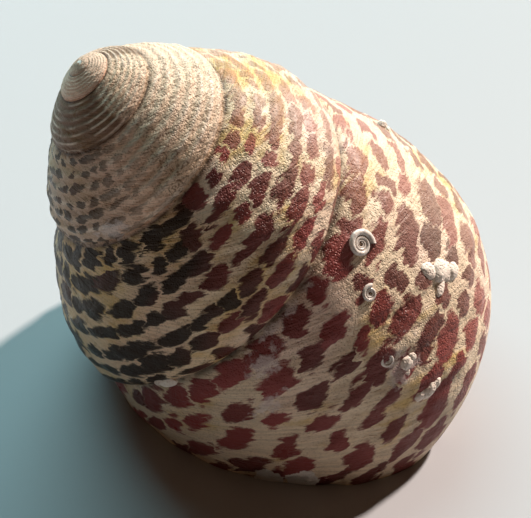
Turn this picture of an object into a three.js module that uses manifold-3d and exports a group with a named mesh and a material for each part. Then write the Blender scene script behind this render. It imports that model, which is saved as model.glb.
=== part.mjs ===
// A top shell: the empty, right-handed coiled shell of a small sea snail, resting on its mouth.
// Millimetres, +Z up. The mouth's rim lies on z = 0, the spire leans towards -X, and -Y is the front.
import * as THREE from "three";
import { mergeVertices } from "three/addons/utils/BufferGeometryUtils.js";
import Module from "manifold-3d";

const wasm = await Module();
wasm.setup();

// Stance: the lean of the coiling axis at rest, in degrees, and the apex above the surface.
const AXIS_ELEVATION = 56;
const AXIS_HEADING = 190;
const APEX_HEIGHT = 22.5;

// Growth, counted in turns about the axis: turn 0 is the middle of the mouth, older whorls are below 0.
const FIRST_TURN = -5;
const LAST_TURN = 0.3;
const SUTURE_RADIUS = 10.2;
const RADIUS_GROWTH = 0.361;
const RADIUS_SLOWING = 0.079;
const SUTURE_DEPTH = 15.3;
const DEPTH_GROWTH = 0.723;
const DEPTH_SLOWING = 0.038;

// The newest part of the last whorl draws in, by these shares a turn.
const NARROWING_STARTS = -0.4;
const NARROWING_RADIUS = 0.4;
const NARROWING_DEPTH = 0.18;

// Section of a whorl. Bulges are shares of the flank's length, base sizes are shares of the whorl's radius.
const BULGE_OLD = 0;
const BULGE_FULL = 0.1;
const BULGE_LAST = 0.065;
const BULGE_SKEW = 0.45;
const BULGE_GROWS_FROM = -1.95;
const BULGE_FULL_AT = -0.75;
const BULGE_LAST_FROM = -0.4;
const BASE_SAG = 0.19;
const BASE_ROUNDING = 0.46;
const BASE_FLATNESS = 0.42;
const NAVEL_RADIUS = 0.1;
const SUTURE_SINK = 0.03;
const SECTION_LAP = 0.3;
const NEAR_RIM = 0.98;

// Spiral cords: low ridges that run along the flank.
const CORDS = 6;
const CORD_HEIGHT = 0.011;

// Solid pillar of the axis and the worn first whorl.
const HUB_SHARE = 0.03;
const PILLAR_RADIUS = 0.6;
const PILLAR_SIDES = 10;
const PILLAR_FOOT = 4.5;
const NUB_RADIUS = 0.72;
const NUB_DEPTH = 0.68;
const NUB_DETAIL = 2;

// Hollow of the last whorl.
const WALL = 1;
const CALLUS = 0.15;
const HOLLOW_ENDS = -0.75;
const HOLLOW_NARROWS_FROM = -0.25;
const HOLLOW_END_SHARE = 0.3;
const HOLLOW_FLANK_FROM = 0.16;
const HOLLOW_NEAR_PILLAR = 0.93;
const HOLLOW_REACHES_PAST = 0.04;
const HOLLOW_FLANK_SHARES = [0, 0.25, 0.5, 0.75, 1];
const HOLLOW_BASE_SHARES = [0.25, 0.45, 0.65, 0.85, 1];
const HOLLOW_ROOF_SHARES = [1, 0.8, 0.55, 0.33];

// Mesh steps.
const STEPS_NEW = 36;
const STEPS_OLD = 22;
const NEW_FROM = -1.2;
const BASE_STEPS = 8;
const HOLLOW_STEPS = 30;
const PIECE_TURNS = 0.5;
const RIM_HALVINGS = 20;
const OUTLINE_STEP = 0.01;
const SURFACE_STEP = 0.004;
const MERGE_DISTANCE = 1e-5;

// Things cemented to the outside, each by its turn and its place down the flank: 0 at the suture, 1 at the
// rim of the base.
const WORM_TUBES = [
  { turn: -0.139, down: 0.13, coil: 0.52, tube: 0.19, loops: 1.7 },
  { turn: -0.112, down: 0.27, coil: 0.34, tube: 0.14, loops: 1.5 },
  { turn: -0.085, down: 0.52, coil: 0.3, tube: 0.13, loops: 1.5 },
];
const WORM_INNER = 0.22;
const WORM_RISE = 0.5;
const WORM_BED = 0.9;
const WORM_STEPS = 10;
const WORM_HALF_SIDES = 3;
const LUMPS = [
  { turn: -0.169, down: 0.585, size: [0.55, 0.42, 0.34] },
  { turn: -0.167, down: 0.467, size: [0.5, 0.4, 0.26] },
  { turn: -0.186, down: 0.66, size: [0.42, 0.34, 0.3] },
  { turn: -0.094, down: 0.82, size: [0.6, 0.42, 0.32] },
  { turn: -0.094, down: 0.62, size: [0.5, 0.4, 0.26] },
  { turn: -0.31, down: 0.43, size: [0.34, 0.3, 0.3] },
  { turn: -0.919, down: 0.94, size: [0.8, 0.4, 0.2] },
];
const LUMP_SINK = 0.35;
const LUMP_DETAIL = 1;

// Broken places along the outer lip: half length along the rim, half depth through the wall and height.
const CHIPS = [
  { turn: 0.055, size: [2.1, 1.8, 1.4] },
  { turn: 0.025, size: [1.9, 1.8, 0.9] },
];

// Blunt tooth at the foot of the pillar.
const TOOTH = { turn: 0.05, radius: 1.9, depth: 25.4, size: [0.75, 0.8, 1.5] };

const SHELL_COLOUR = 0xcdb48c;
const SHELL_ROUGHNESS = 0.55;
const CUTTER_SIZE = 80;

// Unit directions of the shell: up the axis, towards the mouth, and a quarter turn of growth past the mouth.
const UP = new THREE.Vector3(0, 0, 1);
const elevation = THREE.MathUtils.degToRad(AXIS_ELEVATION);
const heading = THREE.MathUtils.degToRad(AXIS_HEADING);
const lean = new THREE.Vector3(Math.cos(heading), Math.sin(heading), 0);
const axis = lean.clone().multiplyScalar(Math.cos(elevation)).addScaledVector(UP, Math.sin(elevation));
const toMouth = UP.clone().cross(lean);
const pastMouth = lean.clone().multiplyScalar(Math.sin(elevation)).addScaledVector(UP, -Math.cos(elevation));
const apex = new THREE.Vector3(0, 0, APEX_HEIGHT);

// Sections are drawn as (radius from the axis, depth below the apex).
function suture(turn) {
  const radius = SUTURE_RADIUS * Math.exp(RADIUS_GROWTH * turn - RADIUS_SLOWING * turn * turn);
  const depth = SUTURE_DEPTH * Math.exp(DEPTH_GROWTH * turn - DEPTH_SLOWING * turn * turn);
  return new THREE.Vector2(radius, depth);
}

function lowerEdge(turn) {
  const edge = suture(turn + 1);
  const late = Math.max(0, turn - NARROWING_STARTS);
  edge.x *= 1 - NARROWING_RADIUS * late;
  edge.y *= 1 - NARROWING_DEPTH * late;
  return edge;
}

function flankPoint(turn, down, relief = 0) {
  const upper = suture(turn);
  const chord = lowerEdge(turn).sub(upper);
  const length = chord.length();
  const grown = THREE.MathUtils.smoothstep(turn, BULGE_GROWS_FROM, BULGE_FULL_AT);
  const eased = THREE.MathUtils.smoothstep(turn, BULGE_FULL_AT, BULGE_LAST_FROM);
  const full = THREE.MathUtils.lerp(BULGE_FULL, BULGE_LAST, eased);
  const bulge = THREE.MathUtils.lerp(BULGE_OLD, full, grown);
  const shape = 4 * down * (1 - down) * (1 + BULGE_SKEW * (2 * down - 1));
  const outwards = new THREE.Vector2(chord.y, -chord.x).divideScalar(length);
  return upper.addScaledVector(chord, down).addScaledVector(outwards, length * (bulge * shape + relief));
}

function basePoint(turn, inwards) {
  const rim = lowerEdge(turn);
  const radius = rim.x;
  const slope = rim.clone().sub(flankPoint(turn, NEAR_RIM)).normalize();
  const navel = new THREE.Vector2(NAVEL_RADIUS * radius, rim.y + BASE_SAG * radius);
  const shoulder = rim.clone().addScaledVector(slope, BASE_ROUNDING * radius);
  const flat = navel.clone().add(new THREE.Vector2(BASE_FLATNESS * radius, 0));
  const curve = new THREE.CubicBezierCurve(rim, shoulder, flat, navel);
  return curve.getPoint(inwards);
}

function direction(turn) {
  const angle = 2 * Math.PI * turn;
  return toMouth.clone().multiplyScalar(Math.cos(angle)).addScaledVector(pastMouth, Math.sin(angle));
}

function place(turn, point) {
  return apex.clone().addScaledVector(axis, -point.y).addScaledVector(direction(turn), point.x);
}

// A point moved square to its outline, outwards by the given distance.
function moved(outline, turn, at, distance) {
  const ahead = outline(turn, Math.min(1, at + OUTLINE_STEP));
  const behind = outline(turn, Math.max(0, at - OUTLINE_STEP));
  const slope = ahead.sub(behind).normalize();
  return outline(turn, at).add(new THREE.Vector2(slope.y, -slope.x).multiplyScalar(distance));
}

// A closed solid from its corner points and triangles, turned to face outwards.
function solidFrom(positions, triangles) {
  let volume = 0;
  const corners = [new THREE.Vector3(), new THREE.Vector3(), new THREE.Vector3()];
  for (let i = 0; i < triangles.length; i += 3) {
    corners.forEach((corner, j) => corner.fromArray(positions, 3 * triangles[i + j]));
    volume += corners[0].dot(corners[1].clone().cross(corners[2]));
  }
  const facing = volume < 0 ? triangles.slice().reverse() : triangles;
  const mesh = new wasm.Mesh({
    numProp: 3,
    vertProperties: new Float32Array(positions),
    triVerts: new Uint32Array(facing),
  });
  return new wasm.Manifold(mesh);
}

function solidOf(geometry, matrix = new THREE.Matrix4()) {
  const bare = geometry.clone().applyMatrix4(matrix);
  bare.deleteAttribute("normal");
  bare.deleteAttribute("uv");
  const merged = mergeVertices(bare, MERGE_DISTANCE);
  return solidFrom(Array.from(merged.attributes.position.array), Array.from(merged.index.array));
}

// Joins closed sections, each at its own turn, into one capped solid.
function sweep(sections) {
  const count = sections[0].outline.length;
  const positions = [];
  const triangles = [];
  for (const { turn, outline } of sections) {
    for (const point of outline) {
      positions.push(...place(turn, point).toArray());
    }
  }
  for (let i = 0; i + 1 < sections.length; i++) {
    for (let j = 0; j < count; j++) {
      const a = i * count + j;
      const b = i * count + ((j + 1) % count);
      triangles.push(a, b, a + count, b, b + count, a + count);
    }
  }
  const last = (sections.length - 1) * count;
  const caps = [sections[0], sections.at(-1)].map((s) => THREE.ShapeUtils.triangulateShape(s.outline, []));
  const turnedIn = THREE.ShapeUtils.isClockWise(sections[0].outline);
  for (const [a, b, c] of caps[0]) {
    triangles.push(...(turnedIn ? [a, b, c] : [a, c, b]));
  }
  for (const [a, b, c] of caps[1]) {
    triangles.push(...(turnedIn ? [last + a, last + c, last + b] : [last + a, last + b, last + c]));
  }
  return solidFrom(positions, triangles);
}

// Filled section of one whorl, from the axis over the flank and round the base.
function whorlSection(turn) {
  const upper = suture(turn);
  const lower = lowerEdge(turn);
  const height = lower.y - upper.y;
  const outline = [
    new THREE.Vector2(HUB_SHARE * lower.x, upper.y - SECTION_LAP * height),
    new THREE.Vector2(upper.x - SUTURE_SINK * height, upper.y - SUTURE_SINK * height),
  ];
  for (let i = 0; i <= 2 * CORDS; i++) {
    outline.push(flankPoint(turn, i / (2 * CORDS), i % 2 ? CORD_HEIGHT : 0));
  }
  for (let i = 1; i <= BASE_STEPS; i++) {
    outline.push(basePoint(turn, i / BASE_STEPS));
  }
  outline.push(new THREE.Vector2(HUB_SHARE * lower.x, outline.at(-1).y));
  return { turn, outline };
}

function whorls() {
  let joined = null;
  for (let start = FIRST_TURN; start < LAST_TURN; start += PIECE_TURNS) {
    const end = Math.min(LAST_TURN, start + PIECE_TURNS);
    const steps = Math.ceil((end - start) * (start >= NEW_FROM ? STEPS_NEW : STEPS_OLD));
    const sections = [];
    for (let i = 0; i <= steps; i++) {
      sections.push(whorlSection(start + ((end - start) * i) / steps));
    }
    const piece = sweep(sections);
    joined = joined ? joined.add(piece) : piece;
  }
  return joined;
}

// Solid pillar along the axis, and the rounded worn tip.
function pillarAndTip() {
  const top = NUB_DEPTH;
  const foot = lowerEdge(0).y + PILLAR_FOOT;
  const profile = [
    new THREE.Vector2(0, -foot),
    new THREE.Vector2(PILLAR_RADIUS, -foot),
    new THREE.Vector2(PILLAR_RADIUS, -top),
    new THREE.Vector2(0, -top),
  ];
  const upright = new THREE.Matrix4().makeBasis(toMouth, axis, toMouth.clone().cross(axis));
  upright.setPosition(apex);
  const pillar = solidOf(new THREE.LatheGeometry(profile, PILLAR_SIDES), upright);
  const tipPlace = place(0, new THREE.Vector2(0, NUB_DEPTH));
  const ball = new THREE.IcosahedronGeometry(NUB_RADIUS, NUB_DETAIL);
  const tip = solidOf(ball, new THREE.Matrix4().setPosition(tipPlace));
  return pillar.add(tip);
}

// Hollow of the last whorl: its outline follows the flank and the base inside the wall, then the pillar and
// the outside of the whorl before it.
function hollowSection(turn) {
  const outline = [];
  for (const share of HOLLOW_FLANK_SHARES) {
    const at = THREE.MathUtils.lerp(HOLLOW_FLANK_FROM, 1, share);
    outline.push(moved(flankPoint, turn, at, -WALL));
  }
  for (const share of HOLLOW_BASE_SHARES) {
    outline.push(moved(basePoint, turn, share * HOLLOW_NEAR_PILLAR, -WALL));
  }
  for (const share of HOLLOW_ROOF_SHARES) {
    outline.push(moved(basePoint, turn - 1, share * HOLLOW_NEAR_PILLAR, CALLUS));
  }
  const total = outline.reduce((sum, point) => sum.add(point), new THREE.Vector2());
  const middle = total.divideScalar(outline.length);
  const closing = THREE.MathUtils.smoothstep(-turn, -HOLLOW_NARROWS_FROM, -HOLLOW_ENDS);
  const share = THREE.MathUtils.lerp(1, HOLLOW_END_SHARE, closing);
  return { turn, outline: outline.map((point) => point.sub(middle).multiplyScalar(share).add(middle)) };
}

function hollow() {
  const from = LAST_TURN + HOLLOW_REACHES_PAST;
  const steps = Math.ceil((from - HOLLOW_ENDS) * HOLLOW_STEPS);
  const sections = [];
  for (let i = 0; i <= steps; i++) {
    sections.push(hollowSection(THREE.MathUtils.lerp(HOLLOW_ENDS, from, i / steps)));
  }
  return sweep(sections);
}

// The shell itself, without the slivers that joining leaves between touching faces.
function largestBody(solid) {
  return solid.decompose().reduce((best, body) => (body.volume() > best.volume() ? body : best));
}

// Frame on the surface: along the coil, down the flank and outwards.
function surfaceFrame(turn, down) {
  const at = place(turn, flankPoint(turn, down));
  const later = turn + SURFACE_STEP;
  const along = place(later, flankPoint(later, down)).sub(at).normalize();
  const downwards = place(turn, flankPoint(turn, down + SURFACE_STEP)).sub(at).normalize();
  const outwards = downwards.clone().cross(along).normalize();
  if (outwards.dot(direction(turn)) < 0) {
    outwards.negate();
  }
  const across = outwards.clone().cross(along);
  return new THREE.Matrix4().makeBasis(along, across, outwards).setPosition(at);
}

function wormTube({ turn, down, coil, tube, loops }) {
  const steps = Math.round(loops * WORM_STEPS);
  const points = [];
  for (let i = 0; i <= steps; i++) {
    const share = i / steps;
    const angle = 2 * Math.PI * loops * share;
    const radius = coil * THREE.MathUtils.lerp(WORM_INNER, 1, share);
    points.push(new THREE.Vector3(radius * Math.cos(angle), radius * Math.sin(angle), tube * WORM_RISE));
  }
  const section = new THREE.Shape();
  section.absarc(0, 0, tube, 0, 2 * Math.PI);
  const path = new THREE.CatmullRomCurve3(points);
  const options = { steps, curveSegments: WORM_HALF_SIDES, extrudePath: path };
  const geometry = new THREE.ExtrudeGeometry(section, options);
  const bed = new THREE.CylinderGeometry(coil * WORM_BED, coil, tube, WORM_STEPS).rotateX(Math.PI / 2);
  const frame = surfaceFrame(turn, down);
  return solidOf(geometry, frame).add(solidOf(bed, frame));
}

function lump({ turn, down, size }) {
  const frame = surfaceFrame(turn, down);
  const local = new THREE.Matrix4().makeScale(...size).setPosition(0, 0, -LUMP_SINK * size[2]);
  return solidOf(new THREE.IcosahedronGeometry(1, LUMP_DETAIL), frame.multiply(local));
}

// Place down the flank where it meets the rim's plane, by halving.
function rimDown(turn) {
  let above = 0;
  let below = 1;
  for (let i = 0; i < RIM_HALVINGS; i++) {
    const middle = (above + below) / 2;
    if (place(turn, flankPoint(turn, middle)).z > 0) {
      above = middle;
    } else {
      below = middle;
    }
  }
  return above;
}

// A bite out of the rim, set level along it.
function chip({ turn, size }) {
  const frame = surfaceFrame(turn, rimDown(turn));
  const outwards = new THREE.Vector3().setFromMatrixColumn(frame, 2).setZ(0).normalize();
  const level = new THREE.Matrix4().makeBasis(UP.clone().cross(outwards), outwards, UP);
  level.copyPosition(frame).multiply(new THREE.Matrix4().makeScale(...size));
  return solidOf(new THREE.IcosahedronGeometry(1, LUMP_DETAIL), level);
}

function tooth() {
  const at = place(TOOTH.turn, new THREE.Vector2(TOOTH.radius, TOOTH.depth));
  const turned = new THREE.Matrix4().makeBasis(toMouth, pastMouth, toMouth.clone().cross(pastMouth));
  const local = turned.setPosition(at).multiply(new THREE.Matrix4().makeScale(...TOOTH.size));
  return solidOf(new THREE.IcosahedronGeometry(1, LUMP_DETAIL), local);
}

function shell() {
  let solid = whorls().add(pillarAndTip()).subtract(hollow()).add(tooth());
  for (const each of WORM_TUBES) {
    solid = solid.add(wormTube(each));
  }
  for (const each of LUMPS) {
    solid = solid.add(lump(each));
  }
  for (const each of CHIPS) {
    solid = solid.subtract(chip(each));
  }
  const above = new THREE.Matrix4().setPosition(0, 0, CUTTER_SIZE / 2);
  solid = solid.intersect(solidOf(new THREE.BoxGeometry(CUTTER_SIZE, CUTTER_SIZE, CUTTER_SIZE), above));
  const mesh = largestBody(solid).getMesh();
  const geometry = new THREE.BufferGeometry();
  geometry.setAttribute("position", new THREE.BufferAttribute(mesh.vertProperties, 3));
  geometry.setIndex(new THREE.BufferAttribute(mesh.triVerts, 1));
  geometry.computeBoundingBox();
  const centre = geometry.boundingBox.getCenter(new THREE.Vector3());
  geometry.translate(-centre.x, -centre.y, 0);
  geometry.computeVertexNormals();
  const material = new THREE.MeshStandardMaterial({
    color: SHELL_COLOUR,
    roughness: SHELL_ROUGHNESS,
    metalness: 0,
  });
  const piece = new THREE.Mesh(geometry, material);
  piece.name = "shell";
  return piece;
}

const topShell = new THREE.Group();
topShell.name = "top_shell";
topShell.add(shell());

export default topShell;
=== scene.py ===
"""Dressed model of an empty top shell that lies on its mouth.

The shell is grown here from the same spiral as its solid, in finer steps, with its cords, sutures,
growth lines, broken lip and pearly inside. The coiled worm tubes and the limy crusts on its outside
are pieces of their own. Sizes are in millimetres, and meshes are in metres, in the frame of the solid.
"""

import logging
import math
from collections.abc import Callable
from dataclasses import dataclass
from enum import Enum, IntEnum

import bpy
import numpy as np
from mathutils import Matrix, Vector


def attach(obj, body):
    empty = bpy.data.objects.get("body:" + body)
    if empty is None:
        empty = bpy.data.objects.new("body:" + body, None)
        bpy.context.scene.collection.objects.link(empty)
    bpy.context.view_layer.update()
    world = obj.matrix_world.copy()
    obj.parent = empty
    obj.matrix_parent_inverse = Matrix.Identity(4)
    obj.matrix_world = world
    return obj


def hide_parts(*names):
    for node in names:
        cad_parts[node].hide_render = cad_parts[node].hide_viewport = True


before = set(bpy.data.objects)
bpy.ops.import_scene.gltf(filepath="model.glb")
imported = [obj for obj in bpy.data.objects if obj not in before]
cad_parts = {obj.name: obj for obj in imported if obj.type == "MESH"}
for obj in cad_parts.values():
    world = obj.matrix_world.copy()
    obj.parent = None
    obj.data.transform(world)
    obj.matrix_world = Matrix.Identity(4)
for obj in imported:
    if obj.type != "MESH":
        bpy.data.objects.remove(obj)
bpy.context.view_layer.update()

LOG = logging.getLogger("top_shell")
MM = 0.001
BODY = "root"
NODE = "shell"
WHORL_MAP = "whorl"
ORIGIN = (0.0, 0.0, 0.0)

# Curve of the lip's edge, in turns
LIP_SHIFT = -0.017
LIP_LEAN = 0.22
LIP_CURL = 0.07
LIP_CURL_POWER = 4

Array = np.ndarray
Colour = tuple[float, float, float]
Point = tuple[float, float, float]
Span = tuple[float, float]
Band = tuple[Span, Span]
Socket = bpy.types.NodeSocket


# Choices, numbers and noise
class Layer(IntEnum):
    """Material slots of the shell's mesh."""

    OUTSIDE = 0
    INSIDE = 1
    BROKEN = 2


class Cut(Enum):
    """Ways in which one closed mesh changes another."""

    REMOVE = "DIFFERENCE"
    JOIN = "UNION"


def ease(value: Array, low: float, high: float) -> Array:
    """Smooth step from 0 at low to 1 at high.

    Args:
        value: Numbers to step.
        low: Where the step starts.
        high: Where the step ends.

    Returns:
        Numbers from 0 to 1.
    """
    share = np.clip((value - low) / (high - low), 0.0, 1.0)
    return share * share * (3.0 - 2.0 * share)


def between(start: Array, end: Array, share: Array) -> Array:
    """Straight blend from start to end."""
    return start + (end - start) * share


@dataclass(frozen=True)
class Wobble:
    """Seeded smooth noise from -1 to 1 that repeats only far away."""

    seed: int
    lattice: int = 32

    def at(self, *coordinates: Array) -> Array:
        """Noise at the given places.

        Args:
            coordinates: Two arrays of the same shape, in lattice steps.

        Returns:
            One number for each place.
        """
        table = np.random.default_rng(self.seed).uniform(-1.0, 1.0, (self.lattice, self.lattice))
        x, y = np.broadcast_arrays(*coordinates)
        column, row = np.floor(x).astype(int), np.floor(y).astype(int)
        across, down = ease(x - column, 0.0, 1.0), ease(y - row, 0.0, 1.0)

        def corner(step_x: int, step_y: int) -> Array:
            """Lattice values at one corner of each cell."""
            return table[(column + step_x) % self.lattice, (row + step_y) % self.lattice]

        upper = between(corner(0, 0), corner(1, 0), across)
        lower = between(corner(0, 1), corner(1, 1), across)
        return between(upper, lower, down)


# Growth of the shell
@dataclass(frozen=True)
class Stance:
    """Lean of the coiling axis while the shell rests on its mouth."""

    elevation_deg: float = 56.0
    heading_deg: float = 190.0
    apex_mm: Point = (-11.484, -2.311, 22.5)

    def directions(self) -> tuple[Array, Array, Array]:
        """Unit directions up the axis, towards the mouth and a quarter turn of growth past the mouth.

        Returns:
            Three unit directions in the frame.
        """
        elevation, heading = math.radians(self.elevation_deg), math.radians(self.heading_deg)
        up = np.array([0.0, 0.0, 1.0])
        lean = np.array([math.cos(heading), math.sin(heading), 0.0])
        axis = lean * math.cos(elevation) + up * math.sin(elevation)
        past = lean * math.sin(elevation) - up * math.cos(elevation)
        return axis, np.cross(up, lean), past

    def place(self, turn: Array, radius: Array, depth: Array) -> Array:
        """Points in the frame.

        Args:
            turn: Turns about the axis, 0 in the middle of the mouth.
            radius: Distance from the axis, in millimetres.
            depth: Distance below the apex along the axis, in millimetres.

        Returns:
            Points in metres, with one more dimension than the arguments.
        """
        axis, mouth, past = self.directions()
        angle = 2.0 * math.pi * np.asarray(turn)[..., None]
        round_axis = mouth * np.cos(angle) + past * np.sin(angle)
        points = np.array(self.apex_mm) - axis * np.asarray(depth)[..., None]
        return (points + round_axis * np.asarray(radius)[..., None]) * MM

    def unplace(self, points: Array) -> tuple[Array, Array, Array]:
        """Part of a turn, radius and depth of points in the frame, the inverse of place.

        Args:
            points: Points in metres.

        Returns:
            Turns from -0.5 to 0.5, and radius and depth in millimetres.
        """
        axis, mouth, past = self.directions()
        arm = np.asarray(points) / MM - np.array(self.apex_mm)
        across, ahead = arm @ mouth, arm @ past
        return np.arctan2(ahead, across) / (2.0 * math.pi), np.hypot(across, ahead), -(arm @ axis)


@dataclass(frozen=True)
class Growth:
    """Spiral that the shell grows along, and the section of its whorl. Lengths are in millimetres."""

    first_turn: float = -6.0
    last_turn: float = 0.3
    suture_radius: float = 10.2
    radius_growth: float = 0.361
    radius_slowing: float = 0.079
    suture_depth: float = 15.3
    depth_growth: float = 0.723
    depth_slowing: float = 0.038
    nub_rounding: float = 0.3
    narrowing_starts: float = -0.4
    narrowing_radius: float = 0.4
    narrowing_depth: float = 0.18
    bulge_old: float = 0.05
    bulge_full: float = 0.1
    bulge_last: float = 0.065
    bulge_skew: float = 0.45
    bulge_grows: tuple[float, float] = (-1.95, -0.75)
    bulge_eases: tuple[float, float] = (-0.75, -0.4)
    base_sag: float = 0.19
    base_rounding: float = 0.46
    base_flatness: float = 0.42
    navel_radius: float = 0.1
    near_rim: float = 0.98

    def suture(self, turn: Array) -> Array:
        """Radius and depth of the suture.

        Args:
            turn: Turns about the axis.

        Returns:
            Radius and depth in millimetres, as the last dimension.
        """
        square = turn * turn
        radius = self.suture_radius * np.exp(self.radius_growth * turn - self.radius_slowing * square)
        depth = self.suture_depth * np.exp(self.depth_growth * turn - self.depth_slowing * square)
        return np.stack([radius, np.hypot(depth, self.nub_rounding)], -1)

    def lower_edge(self, turn: Array) -> Array:
        """Radius and depth of the whorl's rim, which the next whorl's suture follows.

        Args:
            turn: Turns about the axis.

        Returns:
            Radius and depth in millimetres, as the last dimension.
        """
        late = np.maximum(0.0, turn - self.narrowing_starts)
        shares = np.stack([1.0 - self.narrowing_radius * late, 1.0 - self.narrowing_depth * late], -1)
        return self.suture(turn + 1.0) * shares

    def flank(self, turn: Array, down: Array, lift: Array = 0.0) -> Array:
        """Radius and depth on the flank.

        Args:
            turn: Turns about the axis.
            down: Place on the flank, 0 at the suture and 1 at the rim of the base.
            lift: Height above the plain surface, in millimetres.

        Returns:
            Radius and depth, as the last dimension.
        """
        turn, down, lift = np.broadcast_arrays(turn, down, lift)
        upper = self.suture(turn)
        chord = self.lower_edge(turn) - upper
        length = np.linalg.norm(chord, axis=-1)
        full = between(self.bulge_full, self.bulge_last, ease(turn, *self.bulge_eases))
        bulge = between(self.bulge_old, full, ease(turn, *self.bulge_grows))
        shape = 4.0 * down * (1.0 - down) * (1.0 + self.bulge_skew * (2.0 * down - 1.0))
        outwards = np.stack([chord[..., 1], -chord[..., 0]], -1) / length[..., None]
        height = length * bulge * shape + lift
        return upper + chord * down[..., None] + outwards * height[..., None]

    def base(self, turn: Array, inwards: Array) -> Array:
        """Radius and depth on the base, from its rim at 0 to the navel at 1.

        Args:
            turn: Turns about the axis.
            inwards: Place on the base, 0 at its rim and 1 at the navel.

        Returns:
            Radius and depth in millimetres, as the last dimension.
        """
        turn, inwards = np.broadcast_arrays(turn, inwards)
        rim = self.lower_edge(turn)
        radius = rim[..., :1]
        slope = rim - self.flank(turn, self.near_rim)
        slope = slope / np.linalg.norm(slope, axis=-1, keepdims=True)
        sideways, below = np.array([1.0, 0.0]), np.array([0.0, 1.0])
        navel = sideways * self.navel_radius * radius + below * (rim[..., 1:] + self.base_sag * radius)
        shoulder = rim + slope * self.base_rounding * radius
        flat = navel + sideways * self.base_flatness * radius
        share = inwards[..., None]
        rest = 1.0 - share
        curve = rim * rest**3 + 3.0 * shoulder * rest**2 * share
        return curve + 3.0 * flat * rest * share**2 + navel * share**3


@dataclass(frozen=True)
class Relief:
    """Low forms on the shell's surface. Heights are in millimetres.

    A growth halt has its turn and its height. A set of wrinkles has its seed, its waves a turn, its waves
    down the flank and its share.
    """

    cord_rows: int = 7
    cord_height: float = 0.09
    old_cord_share: float = 0.022
    wrinkle_height: float = 0.075
    lump_height: float = 0.1
    suture_share: float = 0.068
    old_suture_share: float = 0.085
    suture_sharpness: float = 7.0
    edge_window: float = 0.05
    covered_until: tuple[float, float] = (-0.92, -0.8)
    growth_halts: tuple[tuple[float, float], ...] = (
        (-0.235, 0.13), (-0.175, 0.1), (-0.118, 0.12), (-0.02, 0.11), (-1.16, 0.1),
    )
    halt_width: float = 0.012
    halt_sharpness: float = 6.0
    cords_shrink: Span = (-2.2, -1.0)
    wrinkles: tuple[tuple[int, float, float, float], ...] = ((3, 46.0, 1.4, 1.0), (5, 118.0, 2.3, 0.6))
    lump_seed: int = 7
    lump_waves: Span = (15.0, 5.0)
    lumps_grow: Span = (-3.2, -1.2)
    full_length: float = 10.0
    least_size: float = 0.1
    suture_eases: Span = (-2.6, -1.4)

    def lag(self, down: Array) -> Array:
        """Turns by which the lip's edge runs ahead of its middle, at a place on the flank."""
        rest = 1.0 - down
        return LIP_SHIFT + LIP_LEAN * rest + LIP_CURL * rest**LIP_CURL_POWER

    def lift(self, turn: Array, down: Array, length: Array) -> Array:
        """Height above the plain flank.

        Args:
            turn: Turns about the axis.
            down: Place on the flank.
            length: Length of the flank at that turn, in millimetres.

        Returns:
            Heights in millimetres, 0 at the suture and at the rim.
        """
        window = ease(down, 0.0, self.edge_window) * ease(1.0 - down, 0.0, self.edge_window)
        crest = 0.5 - 0.5 * np.cos(2.0 * math.pi * self.cord_rows * down)
        old = 1.0 - ease(turn, *self.cords_shrink)
        cords = crest * between(self.cord_height, self.old_cord_share * length, old)
        grown = turn - self.lag(down)
        wrinkles = np.zeros_like(turn)
        for seed, a_turn, a_flank, share in self.wrinkles:
            wrinkles = wrinkles + share * Wobble(seed).at(grown * a_turn, down * a_flank)
        lumps_a_turn, lumps_a_flank = self.lump_waves
        lumps = Wobble(self.lump_seed).at(turn * lumps_a_turn, down * lumps_a_flank)
        lumps = lumps * ease(turn, *self.lumps_grow)
        halts = np.zeros_like(turn)
        for place, height in self.growth_halts:
            past = (grown - place) / self.halt_width
            halts = halts + height * np.exp(-np.abs(past)) * np.tanh(-self.halt_sharpness * past)
        size = np.clip(length / self.full_length, self.least_size, 1.0)
        height = cords + size * (self.wrinkle_height * wrinkles + self.lump_height * lumps + halts)
        return window * height

    def draw_in(self, turn: Array, down: Array, growth: Growth) -> Array:
        """Radius lost beside the suture, in millimetres.

        Args:
            turn: Turns about the axis.
            down: Place on the flank.
            growth: Spiral of the shell.

        Returns:
            Lengths in millimetres.
        """
        edge = np.abs(2.0 * down - 1.0) ** self.suture_sharpness
        place = turn + down
        share = between(self.old_suture_share, self.suture_share, ease(place, *self.suture_eases))
        depth = share * growth.suture(place)[..., 0]
        kept = np.where(down > 0.5, 1.0 - ease(turn, *self.covered_until), 1.0)
        return edge * depth * kept


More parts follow.
